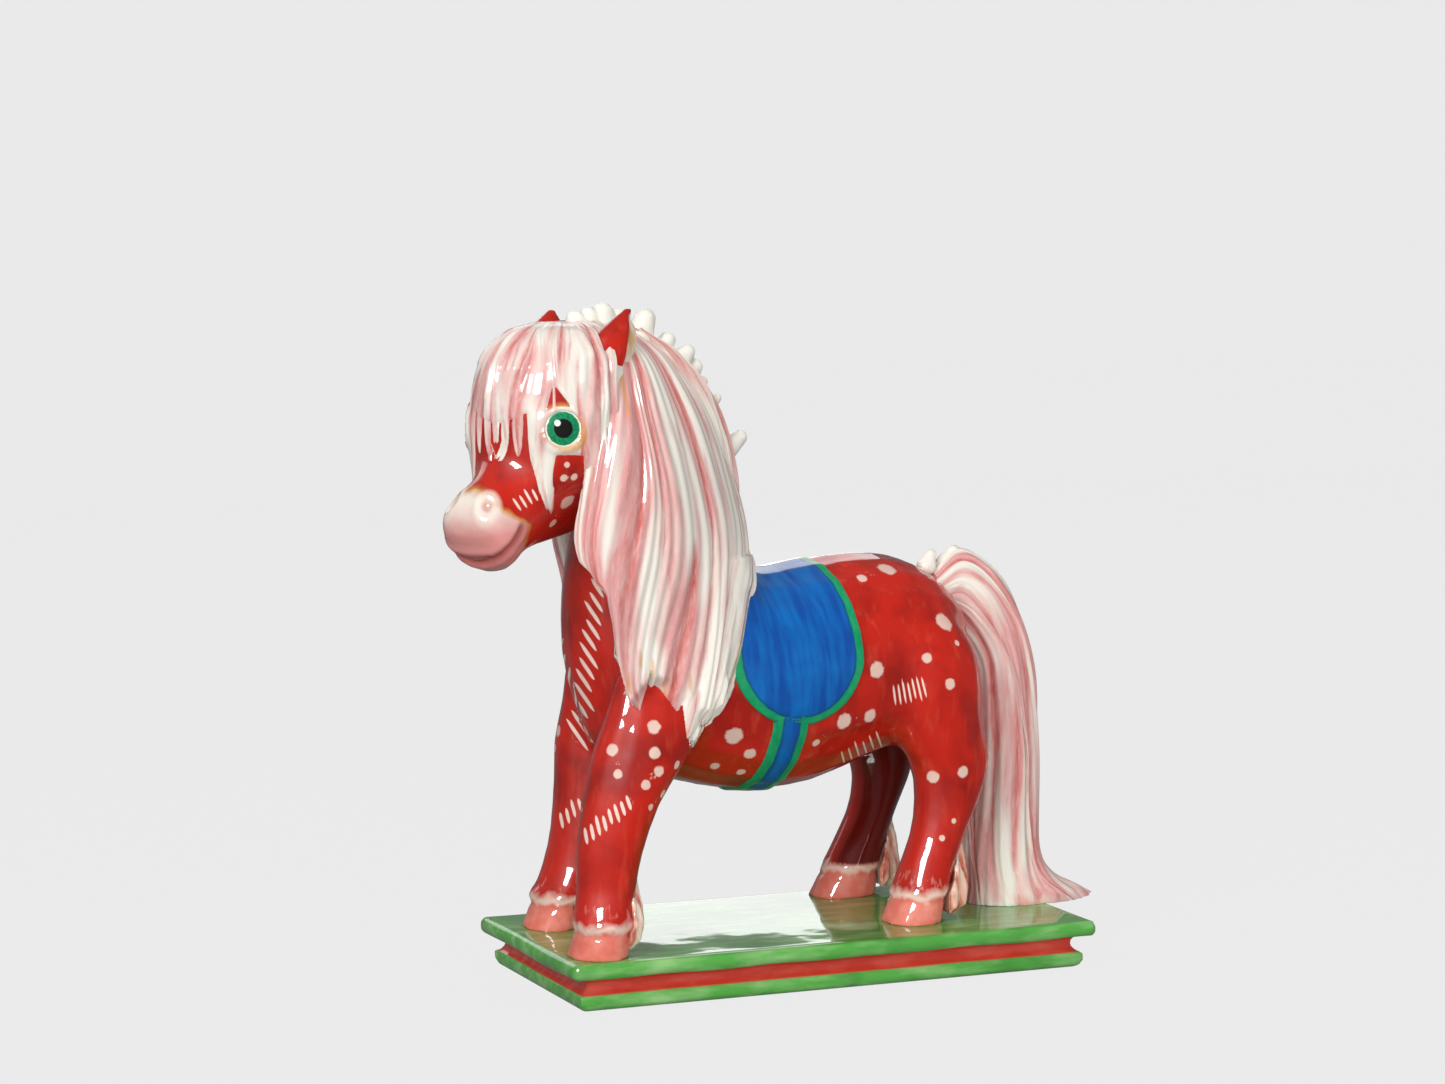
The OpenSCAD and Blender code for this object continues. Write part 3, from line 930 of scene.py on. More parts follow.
@dataclass
class Coat:
    """Barrel, neck and four legs under one skin of red glaze."""

    legs: tuple[str, ...] = ("front_left_leg", "front_right_leg", "rear_left_leg", "rear_right_leg")
    grain: float = 1.15
    passes: int = 26
    vent: Pair = (30.0, 0.0)
    vent_radius: float = 2.5
    vent_depth: float = 6.0
    # how far the shins stand forward, and where the front legs end along the body
    shin: float = 2.6
    fore_x: float = -18.0
    # heights between which the shins stand forward, from none to all
    shin_low: Pair = (24.0, 40.0)
    shin_high: Pair = (95.0, 74.0)
    # swell of the coronet and groove below it: rise, height and width
    rings: tuple[Triple, ...] = ((0.55, 26.3, 1.7), (-0.5, 23.6, 0.9))
    knee: float = 60.0
    # distance from both forms, and height, between which a joint is smoothed from none to all
    joint_near: Pair = (7.0, 2.5)
    joint_high: Pair = (50.0, 62.0)
    joint_passes: int = 60
    dots: tuple[Triple, ...] = (
        (887, 569, 3.2), (862, 578, 1.8), (944, 622, 3.3), (877, 670, 2.7), (927, 658, 1.7), (950, 684, 1.9),
        (957, 643, 1.1), (844, 721, 2.7), (870, 716, 2.3), (734, 736, 3.0), (750, 754, 2.0), (741, 772, 1.5),
        (715, 766, 1.6), (816, 743, 1.4), (933, 777, 2.1), (963, 772, 2.0), (954, 821, 0.9), (942, 838, 1.0),
        (654, 727, 2.1), (612, 750, 1.9), (655, 753, 1.9), (618, 774, 1.5), (659, 771, 1.7), (677, 765, 1.4),
        (646, 785, 1.6), (663, 794, 1.3), (651, 807, 1.1))
    strokes: tuple[Strokes, ...] = (
        Strokes(((590, 577), (605, 599)), ((567, 720), (588, 750)), 12, 0.62),
        Strokes(((584, 826), (588, 846)), ((626, 795), (632, 812)), 8, 0.6, False),
        Strokes(((559.5, 811), (563.5, 830)), ((577, 796), (582, 812)), 4, 0.55, False),
        Strokes(((893, 683), (896, 707)), ((921, 675), (927, 699)), 7, 0.36),
        Strokes(((841, 750), (845, 765)), ((876, 731), (882, 748)), 6, 0.34))
    mesh: Mesh | None = None

    def shut_cavity(self, bm: bmesh.types.BMesh) -> None:
        """Leave out the hollow's own wall, and end the firing vent as a blind hole."""
        at = Vector(PONY.out(np.array(((*self.vent, 0.0),)))[0]).to_2d() * MM
        wide = (self.vent_radius + 0.2) * MM
        bore = [f for f in bm.faces
                if (f.calc_center_median().to_2d() - at).length < wide and abs(f.normal.z) < 0.5]
        bmesh.ops.delete(bm, geom=bore, context="FACES_ONLY")
        top = max(bm.verts, key=lambda v: v.co.z)
        shell, front = {top}, [top]
        while front:
            near = [e.other_vert(v) for v in front for e in v.link_edges]
            front = list({v for v in near if v not in shell})
            shell.update(front)
        bmesh.ops.delete(bm, geom=[v for v in bm.verts if v not in shell], context="VERTS")
        rim = [e for e in bm.edges if e.is_boundary]
        if rim:
            raised = bmesh.ops.extrude_edge_only(bm, edges=rim)["geom"]
            bmesh.ops.translate(bm, verts=[g for g in raised if isinstance(g, bmesh.types.BMVert)],
                                vec=(0.0, 0.0, self.vent_depth * MM))
            bmesh.ops.holes_fill(bm, edges=[e for e in bm.edges if e.is_boundary], sides=0)

    def build(self) -> None:
        """Join the forms, smooth the joints with a sponge and shape the hooves and the shins."""
        bm = merged("body")
        self.shut_cavity(bm)
        for leg in self.legs:
            bm.from_mesh(frame["nodes"][leg].data)
        bmesh.ops.remove_doubles(bm, verts=bm.verts, dist=1e-6)
        mesh = kneaded(bm, self.grain)
        points = relaxed(mesh, coords(mesh), self.passes)
        barrel, legs = merged("body"), merged(*self.legs)
        trees = [BVHTree.FromBMesh(b) for b in (barrel, legs)]
        gaps = [np.array([t.find_nearest(Vector(p) * MM)[3] for p in points]) / MM for t in trees]
        barrel.free()
        legs.free()
        joint = smoothstep(*self.joint_near, np.maximum(*gaps)) * smoothstep(*self.joint_high, points[:, 2])
        points = relaxed(mesh, points, self.joint_passes, 0.0, joint)
        place(mesh, points)
        high = points[:, 2]
        swell = humps(high, *self.rings) * (high < self.knee) * (0.75 + 0.5 * ripple(points, 9.0, 5))
        points = points + normals(mesh) * LEVEL * swell[:, None]
        right = VIEW.axes()[0]
        shin = smoothstep(*self.shin_low, high) * smoothstep(*self.shin_high, high)
        shin = shin * (PONY.inside(points)[:, 0] < self.fore_x)
        points = points - right * (self.shin * shin * smoothstep(0.0, 0.8, -normals(mesh) @ right))[:, None]
        place(mesh, pushed(mesh, points, 0.1 * ripple(points, 15.0, 4)))
        self.mesh = mesh

    def brush_heels(self, points: np.ndarray) -> None:
        """Keep where cream is dry-brushed over the fetlocks, and where painted shade darkens the inner side
        of the far hind leg.
        """
        high = points[:, 2]
        heel = 0.35 * smoothstep(38.0, 31.0, high) * smoothstep(26.0, 28.0, high)
        for leg in self.legs:
            brush = coords(frame["nodes"][leg.replace("leg", "feather")].data)
            far = lengths((points - brush.mean(axis=0))[:, :2])
            heel = np.maximum(heel, smoothstep(11.0, 5.0, far) * smoothstep(46.0, 30.0, high))
        here, out = PONY.inside(points), PONY.inside(points + normals(self.mesh)) - PONY.inside(points)
        inner = (here[:, 0] > 20.0) & (here[:, 1] > 2.0) & (high > 28.0)
        store(self.mesh, "heel", heel * smoothstep(17.0, 19.0, high))
        # painted shade on the far hind leg's inner side, below the belly, where the body shadows it
        painted_shade = 0.9 * inner * smoothstep(-0.1, 0.5, -out[:, 1]) * smoothstep(90.0, 74.0, high)
        store(self.mesh, "painted_shade", painted_shade)

    def dress(self) -> Surface:
        """Paint the coat and return its surface."""
        surface = Surface(self.mesh)
        store_hollows(self.mesh)
        self.brush_heels(coords(self.mesh))
        paint_marks(self.mesh, surface, self.dots, self.strokes, PONY)
        finish = CoatGlaze("glazed_earthenware_red_coat").build()
        finish_piece("coat", self.mesh, finish, ("body", *self.legs))
        return surface


@dataclass
class Face:
    """Head with its sockets, lids, nostrils and mouth."""

    grain: float = 0.8
    passes: int = 45
    # how far the brow lies below the cap of hair
    under: float = 0.8
    eye: Pair = (562.8, 428.6)
    eye_way: Triple = (-0.56, -0.825, 0.08)
    # distances from the eye between which the socket is flattened, from none to all, and how much
    socket: Pair = (10.0, 5.8)
    flattened: float = 0.9
    nostril: Pair = (487.0, 505.0)
    nostril_form: Triple = (0.75, 0.75, 1.35)
    # rise in mm, distance in mm and width in mm of what is pressed in or stands up round the mouth, the
    # nostrils and the eyes
    lips: tuple[Triple, ...] = ((-1.3, 0.0, 0.9), (0.5, 2.4, 1.5))
    nostril_rings: tuple[Triple, ...] = ((0.5, 4.6, 1.9), (-1.7, 0.0, 2.2))
    lid_ring: Triple = (0.45, 6.6, 0.8)
    # heights, and how far forward the edge of the cream nose lies at each
    cream_edge: tuple[tuple[float, ...], tuple[float, ...]] = (
        (140, 150, 154.8, 158.5, 161.4, 165.6), (44.5, 45.0, 45.4, 53.5, 56.4, 57.0))
    # height of the upper edge of the pink lip, how far forward that is, and its slope
    lip_edge: Triple = (159.5, 56.0, 0.15)
    mouth: tuple[Pair, ...] = (
        (460, 556), (468, 561), (478, 563), (490, 561), (500, 556), (509, 548), (516, 539), (521, 529))
    dots: tuple[Triple, ...] = (
        (567, 465, 0.95), (564, 478, 1.25), (574, 477, 1.2), (567, 502, 2.5), (553, 523, 1.5))
    strokes: tuple[Strokes, ...] = (Strokes(((512, 497), (522, 512)), ((531, 487), (538, 501)), 4, 0.45),)
    mesh: Mesh | None = None
    surface: Surface | None = None
    # place in mm and outward direction of each eye, in the head's frame
    seats: dict[Side, tuple[np.ndarray, np.ndarray]] = field(default_factory=dict)

    def build(self) -> None:
        """Fill the sockets, smooth the skull and press in the nostrils and the mouth."""
        mesh = kneaded(merged("head", "left_eye", "right_eye"), self.grain)
        points = self.filled_out(mesh, relaxed(mesh, coords(mesh), self.passes))
        place(mesh, points)
        surface = Surface(mesh)
        hole, middle = HEAD.inside(np.array((surface.seen(self.nostril), surface.seen(self.eye))))
        line = HEAD.inside(np.array([surface.seen(p) for p in self.mouth]))
        line = np.concatenate((line[::-1] * FLIP, line))
        steps = [np.linspace(a, b, 6, endpoint=False) for a, b in zip(line, line[1:])]
        line = np.concatenate((*steps, line[-1:]))
        here, way = HEAD.inside(points), np.array(self.eye_way)
        self.seats = {Side.LEFT: (middle, way), Side.RIGHT: (middle * FLIP, way * FLIP)}
        lid = np.full(len(here), 99.0)
        for middle, way in self.seats.values():
            flat = (here - middle) @ way * smoothstep(*self.socket, lengths(here - middle)) * self.flattened
            here = here - way * flat[:, None]
            lid = np.minimum(lid, lengths(here - middle))
        points = HEAD.out(here)
        place(mesh, points)
        fold = np.min([lengths(here - p) for p in line], axis=0)
        ring = np.minimum(*(lengths((here - side) / self.nostril_form) for side in (hole, hole * FLIP)))
        depth = humps(fold, *self.lips) + humps(ring, *self.nostril_rings) + humps(lid, self.lid_ring)
        place(mesh, relaxed(mesh, pushed(mesh, points, depth), 2))
        forward = -here[:, 0]
        store(mesh, "muzzle", 0.6 * (forward - np.interp(here[:, 2], *self.cream_edge)))
        height, ahead, slope = self.lip_edge
        store(mesh, "lip", height - here[:, 2] + slope * (ahead - forward))
        store(mesh, "crease", fold)
        store(mesh, "nostril", ring)
        store(mesh, "lid", lid)
        self.mesh, self.surface = mesh, Surface(mesh)

    def filled_out(self, mesh: Mesh, points: np.ndarray) -> np.ndarray:
        """Places of the skull brought out to the underside of the hair at the brow and the temples."""
        here, rows = HEAD.inside(points), forelock_rows()
        row = at_place(rows, np.interp(-here[:, 2], -rows[:, 2], np.arange(len(rows))))
        middle, half = (row[:, 0] + row[:, 3]) / 2, (row[:, 3] - row[:, 0]) / 2
        reach = np.hypot((here[:, 0] - middle) / half, here[:, 1] / row[:, 6])
        share = smoothstep(157.0, 178.0, here[:, 2]) * smoothstep(4.0, -10.0, here[:, 0])
        wanted = np.maximum((1.0 - self.under / half) / np.maximum(reach, 0.4), 1.0)
        grown = (1.0 + (wanted - 1.0) * share)[:, None]
        axis = np.stack((middle, np.zeros(len(here)), here[:, 2]), axis=1)
        here = axis + (here - axis) * np.concatenate((grown, grown, np.ones_like(grown)), axis=1)
        eased = 0.8 * smoothstep(150.0, 160.0, here[:, 2]) * smoothstep(1.3, 1.05, reach)
        return relaxed(mesh, HEAD.out(here), 25, 0.0, eased)

    def dress(self) -> Surface:
        """Paint the face and return its surface."""
        store_hollows(self.mesh)
        paint_marks(self.mesh, self.surface, self.dots, self.strokes, HEAD)
        finish = FaceGlaze("glazed_earthenware_red_face").build()
        finish_piece("face", self.mesh, finish, ("head",))
        return self.surface


@dataclass
class Eye:
    """Low dome of clay in its socket."""

    side: Side
    radius: float = 5.75
    rise: float = 1.15
    sink: float = 0.2

    def build(self, face: Face, finish: Material) -> None:
        """Set the dome square to the face, at the seat that the photograph gives the eye.

        Args:
            face: Finished face.
            finish: Painted glaze of the eye.
        """
        middle, way = face.seats[self.side]
        hit = HEAD.out(middle[None])[0]
        out = Vector(HEAD.out((middle + way)[None])[0] - hit).normalized()
        up = (Vector((0.0, 0.0, 1.0)) - out * out.z).normalized()
        across = up.cross(out)
        bm = bmesh.new()
        bmesh.ops.create_uvsphere(bm, u_segments=64, v_segments=40, radius=1.0)
        gaze = [(v.co.x * self.radius, v.co.y * self.radius, 0.0 if v.co.z > 0 else 9.0) for v in bm.verts]
        turn = Matrix((across, up, out)).transposed().to_4x4()
        seat = Vector(hit) - out * self.sink
        bmesh.ops.scale(bm, vec=(self.radius, self.radius, self.rise), verts=bm.verts)
        bmesh.ops.transform(bm, matrix=Matrix.Scale(MM, 4) @ Matrix.Translation(seat) @ turn, verts=bm.verts)
        name = f"{self.side.name.lower()}_eye"
        mesh = poured(bm, name)
        store(mesh, "gaze", np.array(gaze))
        finish_piece(f"{name}_dome", mesh, finish, (name,))


@dataclass
class Ear:
    """Pointed ear with its hollow turned back."""

    side: Side
    grain: float = 0.55
    passes: int = 12
    depth: float = 1.5
    wider: float = 0.5
    # way that the hollow faces: to the back and outward
    faces: Pair = (0.82, 0.57)

    def build(self, finish: Material) -> None:
        """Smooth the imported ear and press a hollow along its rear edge."""
        name = f"{self.side.name.lower()}_ear"
        mesh = kneaded(merged(name), self.grain)
        points = relaxed(mesh, coords(mesh), self.passes)
        place(mesh, points)
        here, out = HEAD.inside(points), HEAD.inside(normals(mesh) + HEAD.out(np.zeros((1, 3))))
        low, high = here.min(axis=0), here.max(axis=0)
        up = (here[:, 2] - low[2]) / (high[2] - low[2])
        levels = np.linspace(0.0, 1.0, 11)
        middle = np.array([here[np.abs(up - level) < 0.06].mean(axis=0) for level in levels])
        axis = np.stack([np.interp(up, levels, middle[:, k]) for k in range(3)], axis=1)
        away = (here - axis) * (1.0 + self.wider * smoothstep(1.0, 0.7, up))[:, None] * LEVEL
        here = axis + away
        points = HEAD.out(here)
        place(mesh, points)
        back = np.array((self.faces[0], self.side.value * self.faces[1], 0.0))
        turned = (away @ back) / np.maximum(lengths(away[:, :2]), 0.4)
        inner = smoothstep(0.35, 0.9, turned) * smoothstep(0.02, 0.2, up) * smoothstep(1.0, 0.85, up)
        facing = smoothstep(0.1, 0.6, out @ back)
        place(mesh, relaxed(mesh, pushed(mesh, points, -self.depth * inner * facing), 2))
        store(mesh, "inner", inner)
        store_hollows(mesh)
        finish_piece(f"{name}_shell", mesh, finish, (name,))


def at_place(rows: np.ndarray, t: np.ndarray) -> np.ndarray:
    """Smooth curve through section rows, read at place t, where whole numbers fall on the rows."""
    last = len(rows) - 1
    i = np.clip(np.floor(t).astype(int), 0, last - 1)
    f = (t - i)[:, None]
    b, c = rows[i], rows[i + 1]
    a = np.where((i > 0)[:, None], rows[np.maximum(i - 1, 0)], 2 * b - c)
    d = np.where((i + 2 <= last)[:, None], rows[np.minimum(i + 2, last)], 2 * c - b)
    return b + 0.5 * f * (c - a + f * (2 * a - 5 * b + 4 * c - d + f * (3 * (b - c) + d - a)))


def on_oval(row: np.ndarray, angle: np.ndarray, grow: np.ndarray) -> np.ndarray:
    """Points on oval sections.

    Args:
        row: One end of the oval, the other end, then its bulge to the left and to the right.
        angle: Angle from the first end, in radians.
        grow: How far each point stands out from the oval, in mm.

    Returns:
        Places in mm.
    """
    half = (row[:, 0:3] - row[:, 3:6]) / 2
    side = np.where(np.sin(angle) < 0, row[:, 6], row[:, 7])
    places = (row[:, 0:3] + row[:, 3:6]) / 2
    places = places + half * (np.cos(angle) * (1 + grow / lengths(half)))[:, None]
    places[:, 1] += (side + grow) * np.sin(angle)
    return places


@dataclass
class Hair:
    """One fall of modelled hair: soft locks that part and join, with strands, laid flat along its outline."""

    name: str
    rows: np.ndarray
    frame: Placement
    locks: int
    rings: int
    seed: int
    # row that the hair reaches, at each angle in degrees from the front
    reach: Rule
    # outlines that the hair leaves bare
    bare: tuple[Outline, ...] = ()
    # outlines that the front edge of the hair is set back from, the way to the right and up as the photograph
    # shows it, and the distance over which that starts
    trimmed: tuple[Outline, ...] = ()
    set_back: Pair = (0.9, 0.43)
    eased: float = 1.0
    # part of the hair that is touched with ochre
    touched: tuple[Outline, ...] = ()
    depth: float = 1.9
    wave: float = 0.12
    per_lock: int = 14
    # thickness beside a bare outline, and distance over which the hair comes down to it
    lies_mm: float = 0.9
    lies_over: float = 11.0
    # how deep the hair is tucked into the clay over a bare outline, and on its hidden side
    tucked: float = 1.6
    sunk: float = 1.2
    # heights over the clay between which the hair comes down, from not at all to fully
    pulled: Pair = (9.0, 4.0)
    # depth from which hair that sank into the clay is lifted out, and how far from the outline
    rises: float = 4.0
    guard: float = 99.0
    # angle and width in degrees of the parts with more pink or less, and how much
    washes: tuple[Triple, ...] = ()
    # how much whiter the hair is beside its outline
    bleached: float = 1.4
    # whether the hair shows at each angle in degrees, everywhere if left out
    outer: Rule | None = None
    floor: float | None = None
    ochre: float = 0.35
    # how many times longer than wide a brush mark is
    drawn: float = 5.0

    def sway(self, u: np.ndarray, v: np.ndarray) -> np.ndarray:
        """Sideways wave of the locks, in shares of the way round, the same at both ends of u."""
        rng = np.random.default_rng(self.seed + 50)
        total = np.zeros(len(u))
        for turns in (1, 2, 3, 5, 8):
            total += np.sin(2 * math.pi * (turns * u + rng.uniform(0.4, 1.5) * v + rng.uniform()))
        return self.wave * total / self.locks * smoothstep(0.0, 0.35, v)

    def relief(self, u: np.ndarray, v: np.ndarray) -> tuple[np.ndarray, np.ndarray, np.ndarray]:
        """Height of the locks.

        Args:
            u: Share of the way round.
            v: Share of the length.

        Returns:
            Height in mm, depth of the groove from 0 to 1 and number of the lock at each place.
        """
        rng = np.random.default_rng(self.seed)
        marks = np.concatenate(((0.0,), np.cumsum(rng.uniform(0.4, 1.9, self.locks))))
        marks /= marks[-1]
        lock = np.clip(np.searchsorted(marks, u, side="right") - 1, 0, self.locks - 1)
        share = (u - marks[lock]) / (marks[lock + 1] - marks[lock])
        edge = np.abs(2 * share - 1)
        parting = (lock + (share > 0.5)) % self.locks
        turns, phase = rng.uniform(0.4, 1.1, self.locks)[parting], rng.uniform(0, 1, self.locks)[parting]
        cut = 0.15 + 0.85 * (0.5 + 0.5 * np.sin(2 * math.pi * (turns * v + phase)))
        lift, count = rng.normal(0, 0.45, self.locks)[lock], rng.integers(2, 5, self.locks)[lock]
        pace, start = rng.uniform(0.5, 1.3, self.locks)[lock], rng.uniform(0, 1, self.locks)[lock]
        swing = np.sin(2 * math.pi * (pace * v + start))
        strand = np.cos(2 * math.pi * (count * share + 0.45 * swing)) * (1 - edge ** 4)
        lump = np.sin(2 * math.pi * (2.3 * pace * v - start))
        lump = lump + 0.7 * np.sin(2 * math.pi * (5.1 * pace * v + 3 * start))
        height = (lift + 0.42 * lump) * (1 - edge ** 2) - self.depth * cut * edge ** 2.4
        height += (0.18 + 0.2 * start) * strand
        return height * smoothstep(-0.15, 0.3, v), cut * edge ** 2, lock

    def build(self, finish: Material, hosts: Sequence[Surface] = ()) -> None:
        """Model the fall and lay it on the clay below along its outline.

        Args:
            finish: Painted glaze of the hair.
            hosts: Surfaces that the hair comes down to.
        """
        bm = bmesh.new()
        bmesh.ops.create_grid(bm, x_segments=self.locks * self.per_lock, y_segments=self.rings, size=0.5)
        mesh = poured(bm, self.name)
        flat = coords(mesh)[:, :2]
        u, v = (flat / (2 * np.abs(flat).max(axis=0)) + 0.5).T
        height, groove, lock = self.relief(u, v)
        angle = 2 * math.pi * (u + self.sway(u, v))
        around = np.degrees(angle) % 360.0
        t = np.clip(v * self.reach(around), 0.0, len(self.rows) - 1.0)
        points = self.trim(self.frame.out(on_oval(at_place(self.rows, t), angle, height)))
        cover = np.full(len(points), 99.0)
        shows = self.outer(around) if self.outer else np.ones(len(points), bool)
        for host in hosts:
            for _ in range(4):
                cover = self.covered(points)
                points = self.lie(points, height, cover, shows, host)
        if self.floor is not None:
            points[:, 2] = np.maximum(points[:, 2], self.floor + 0.05)
        place(mesh, points)
        rng = np.random.default_rng(self.seed + 90)
        tint, warm = rng.normal(0, 1, self.locks)[lock], rng.uniform(0, 1, self.locks)[lock] ** 3
        for at, half, pink in self.washes:
            tint = tint + pink * hump(around, at, half)
        spots = spots_of(self.frame, points)
        touch = [smoothstep(-0.4, 0.8, patch.depth(spots)) for patch in self.touched]
        store(mesh, "flow", self.flow(u, v))
        store(mesh, "groove", groove)
        store(mesh, "tint", tint - self.bleached * smoothstep(14.0, 3.0, cover))
        store(mesh, "tip", np.max([self.ochre * warm * smoothstep(5.0, 0.5, cover), *touch], axis=0))
        self.seal(mesh)
        finish_piece(f"{self.name}_locks", mesh, finish, (self.name,))

    def seal(self, mesh: Mesh) -> None:
        """Join the two long edges of the fall and close its ends."""
        bm = bmesh.new()
        bm.from_mesh(mesh)
        bmesh.ops.remove_doubles(bm, verts=bm.verts, dist=1e-7)
        bmesh.ops.holes_fill(bm, edges=[e for e in bm.edges if e.is_boundary], sides=0)
        bmesh.ops.triangulate(bm, faces=[f for f in bm.faces if len(f.verts) > 4])
        bmesh.ops.recalc_face_normals(bm, faces=bm.faces)
        bm.to_mesh(mesh)
        bm.free()

    def flow(self, u: np.ndarray, v: np.ndarray) -> np.ndarray:
        """Places for the brush marks, in mm round the fall and drawn out along it."""
        radius = 0.5 * lengths(self.rows[:, 0:3] - self.rows[:, 3:6]).max()
        middles = (self.rows[:, 0:3] + self.rows[:, 3:6]) / 2
        along = lengths(np.diff(middles, axis=0)).sum() * v / self.drawn + 7 * self.seed
        turn = 2 * math.pi * u
        return np.stack((radius * np.cos(turn), radius * np.sin(turn), along), axis=1)

    def trim(self, points: np.ndarray) -> np.ndarray:
        """Points set back from the trimmed outlines, the same way on both sides of the middle plane."""
        right, up, _ = VIEW.axes()
        here, spots = self.frame.inside(points), spots_of(self.frame, points)
        way = (self.set_back[0] * right + self.set_back[1] * up)[None]
        way = self.frame.inside(way) - self.frame.inside(np.zeros((1, 3)))
        way = way * np.where(here[:, 1:2] > 0, FLIP, np.ones(3))
        for outline in self.trimmed:
            over = outline.depth(spots) / self.eased
            here = here + self.eased * np.log1p(np.exp(np.clip(over, -30.0, 30.0)))[:, None] * way
        return self.frame.out(here)

    def covered(self, points: np.ndarray) -> np.ndarray:
        """How far inside the hair each place lies, in mm, negative over a bare outline."""
        spots = spots_of(self.frame, points)
        return -np.max([outline.depth(spots) for outline in self.bare], axis=0)

    def thickness(self, cover: np.ndarray) -> np.ndarray:
        """Height of the hair over the clay, from 0 at a bare outline to its full thickness."""
        return self.lies_mm * (1 - np.exp(-cover / self.lies_mm))

    def lie(self, points: np.ndarray, height: np.ndarray, cover: np.ndarray, shows: np.ndarray,
            host: Surface) -> np.ndarray:
        """Points brought down to a surface beside the bare outlines, and under it inside them.

        Args:
            points: Places in mm.
            height: Height of the locks in mm.
            cover: How far inside the hair each place lies, in mm.
            shows: Which places lie on the outer side.
            host: Surface below.

        Returns:
            The new places in mm.
        """
        moved = points.copy()
        some = np.flatnonzero(cover < self.lies_over)
        places, ways, gap = host.nearest(points[some])
        inside = cover[some]
        under = np.maximum(2.0 * inside, -self.tucked)
        rise = np.where(inside > 0, self.thickness(np.maximum(inside, 0)), under)
        rise = rise + 0.4 * np.maximum(height[some], -1.0) * smoothstep(0.5, 4.0, inside)
        rise = np.where(shows[some], rise, -self.sunk)
        pull = np.where(inside > 0, smoothstep(*self.pulled, gap), 1.0)
        pull = smoothstep(self.lies_over, 1.5, inside) * pull
        moved[some] += (places + ways * rise[:, None] - points[some]) * pull[:, None]
        near = np.flatnonzero((cover > 0) & (cover < self.guard) & shows)
        places, ways, gap = host.nearest(moved[near])
        wanted = self.thickness(cover[near]) + 0.3 * np.maximum(height[near], -1.0)
        lift = np.where((gap > -self.rises) & (gap < wanted), wanted - gap, 0.0)
        moved[near] += ways * lift[:, None]
        return moved


@dataclass
class Feather:
    """Brush of hair behind one fetlock."""

    name: str
    grain: float = 0.6
    passes: int = 5
    # growth to the back and across, shift to the front and flare at the foot
    longer: float = 1.0
    wider: float = 1.5
    forward: float = 2.0
    flare: float = 0.0

    def build(self, finish: Material) -> None:
        """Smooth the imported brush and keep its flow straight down."""
        mesh = kneaded(merged(self.name), self.grain)
        points = PONY.inside(relaxed(mesh, coords(mesh), self.passes))
        front, middle = points[:, 0].min(), points[:, 1].mean()
        grown = smoothstep(46.0, 27.0, points[:, 2])
        points[:, 0] = front + (points[:, 0] - front) * (1.0 + (self.longer - 1.0) * grown) - self.forward
        points[:, 1] = middle + (points[:, 1] - middle) * (1.0 + (self.wider - 1.0) * grown)
        points[:, 0] += self.flare * smoothstep(32.0, 17.0, points[:, 2])
        points = PONY.out(points)
        place(mesh, points)
        comb = ripple(points * (1.0, 1.0, 0.12), 2.6, 8)
        free = smoothstep(PLINTH_TOP + 0.3, PLINTH_TOP + 2.5, points[:, 2])
        points = pushed(mesh, points, 0.28 * comb * free)
        place(mesh, points)
        store(mesh, "flow", points * (1.0, 1.0, 0.1))
        store(mesh, "groove", smoothstep(0.3, -0.8, comb))
        store(mesh, "tint", ripple(points * (1.0, 1.0, 0.1), 7.0, 9))
        store(mesh, "tip", 0.25 * smoothstep(24.0, 18.0, points[:, 2]))
        finish_piece(f"{self.name}_brush", mesh, finish, (self.name,))


@dataclass(frozen=True)
class Roll:
    """One rolled knot of hair: foot and head as pixels of the photograph, and a radius in mm at each."""

    foot: Pair
    head: Pair
    foot_mm: float
    head_mm: float


@dataclass
class Knots:
    """Row of rolled knots over the middle of the pony, pinched a little by the fingers."""

    name: str
    rolls: tuple[Roll, ...]
    grain: float = 0.5
    passes: int = 8
    steps: int = 6
    pinch: float = 0.14

    def build(self, finish: Material) -> None:
        """Roll each knot from balls of clay, join them and pinch their sides."""
        bm = bmesh.new()
        for roll in self.rolls:
            foot, head = VIEW.on_middle(roll.foot), VIEW.on_middle(roll.head)
            for share in np.linspace(0.0, 1.0, self.steps):
                radius = roll.foot_mm + (roll.head_mm - roll.foot_mm) * share
                ball = bmesh.ops.create_uvsphere(bm, u_segments=24, v_segments=14, radius=radius * MM)
                bmesh.ops.translate(bm, verts=ball["verts"], vec=Vector(foot + (head - foot) * share) * MM)
        mesh = kneaded(bm, self.grain)
        points = relaxed(mesh, coords(mesh), self.passes)
        place(mesh, points)
        place(mesh, pushed(mesh, points, self.pinch * ripple(points * (1.0, 1.0, 0.6), 4.5, 6)))
        store_hollows(mesh)
        finish_piece(f"{self.name}_rolls", mesh, finish, (self.name,))


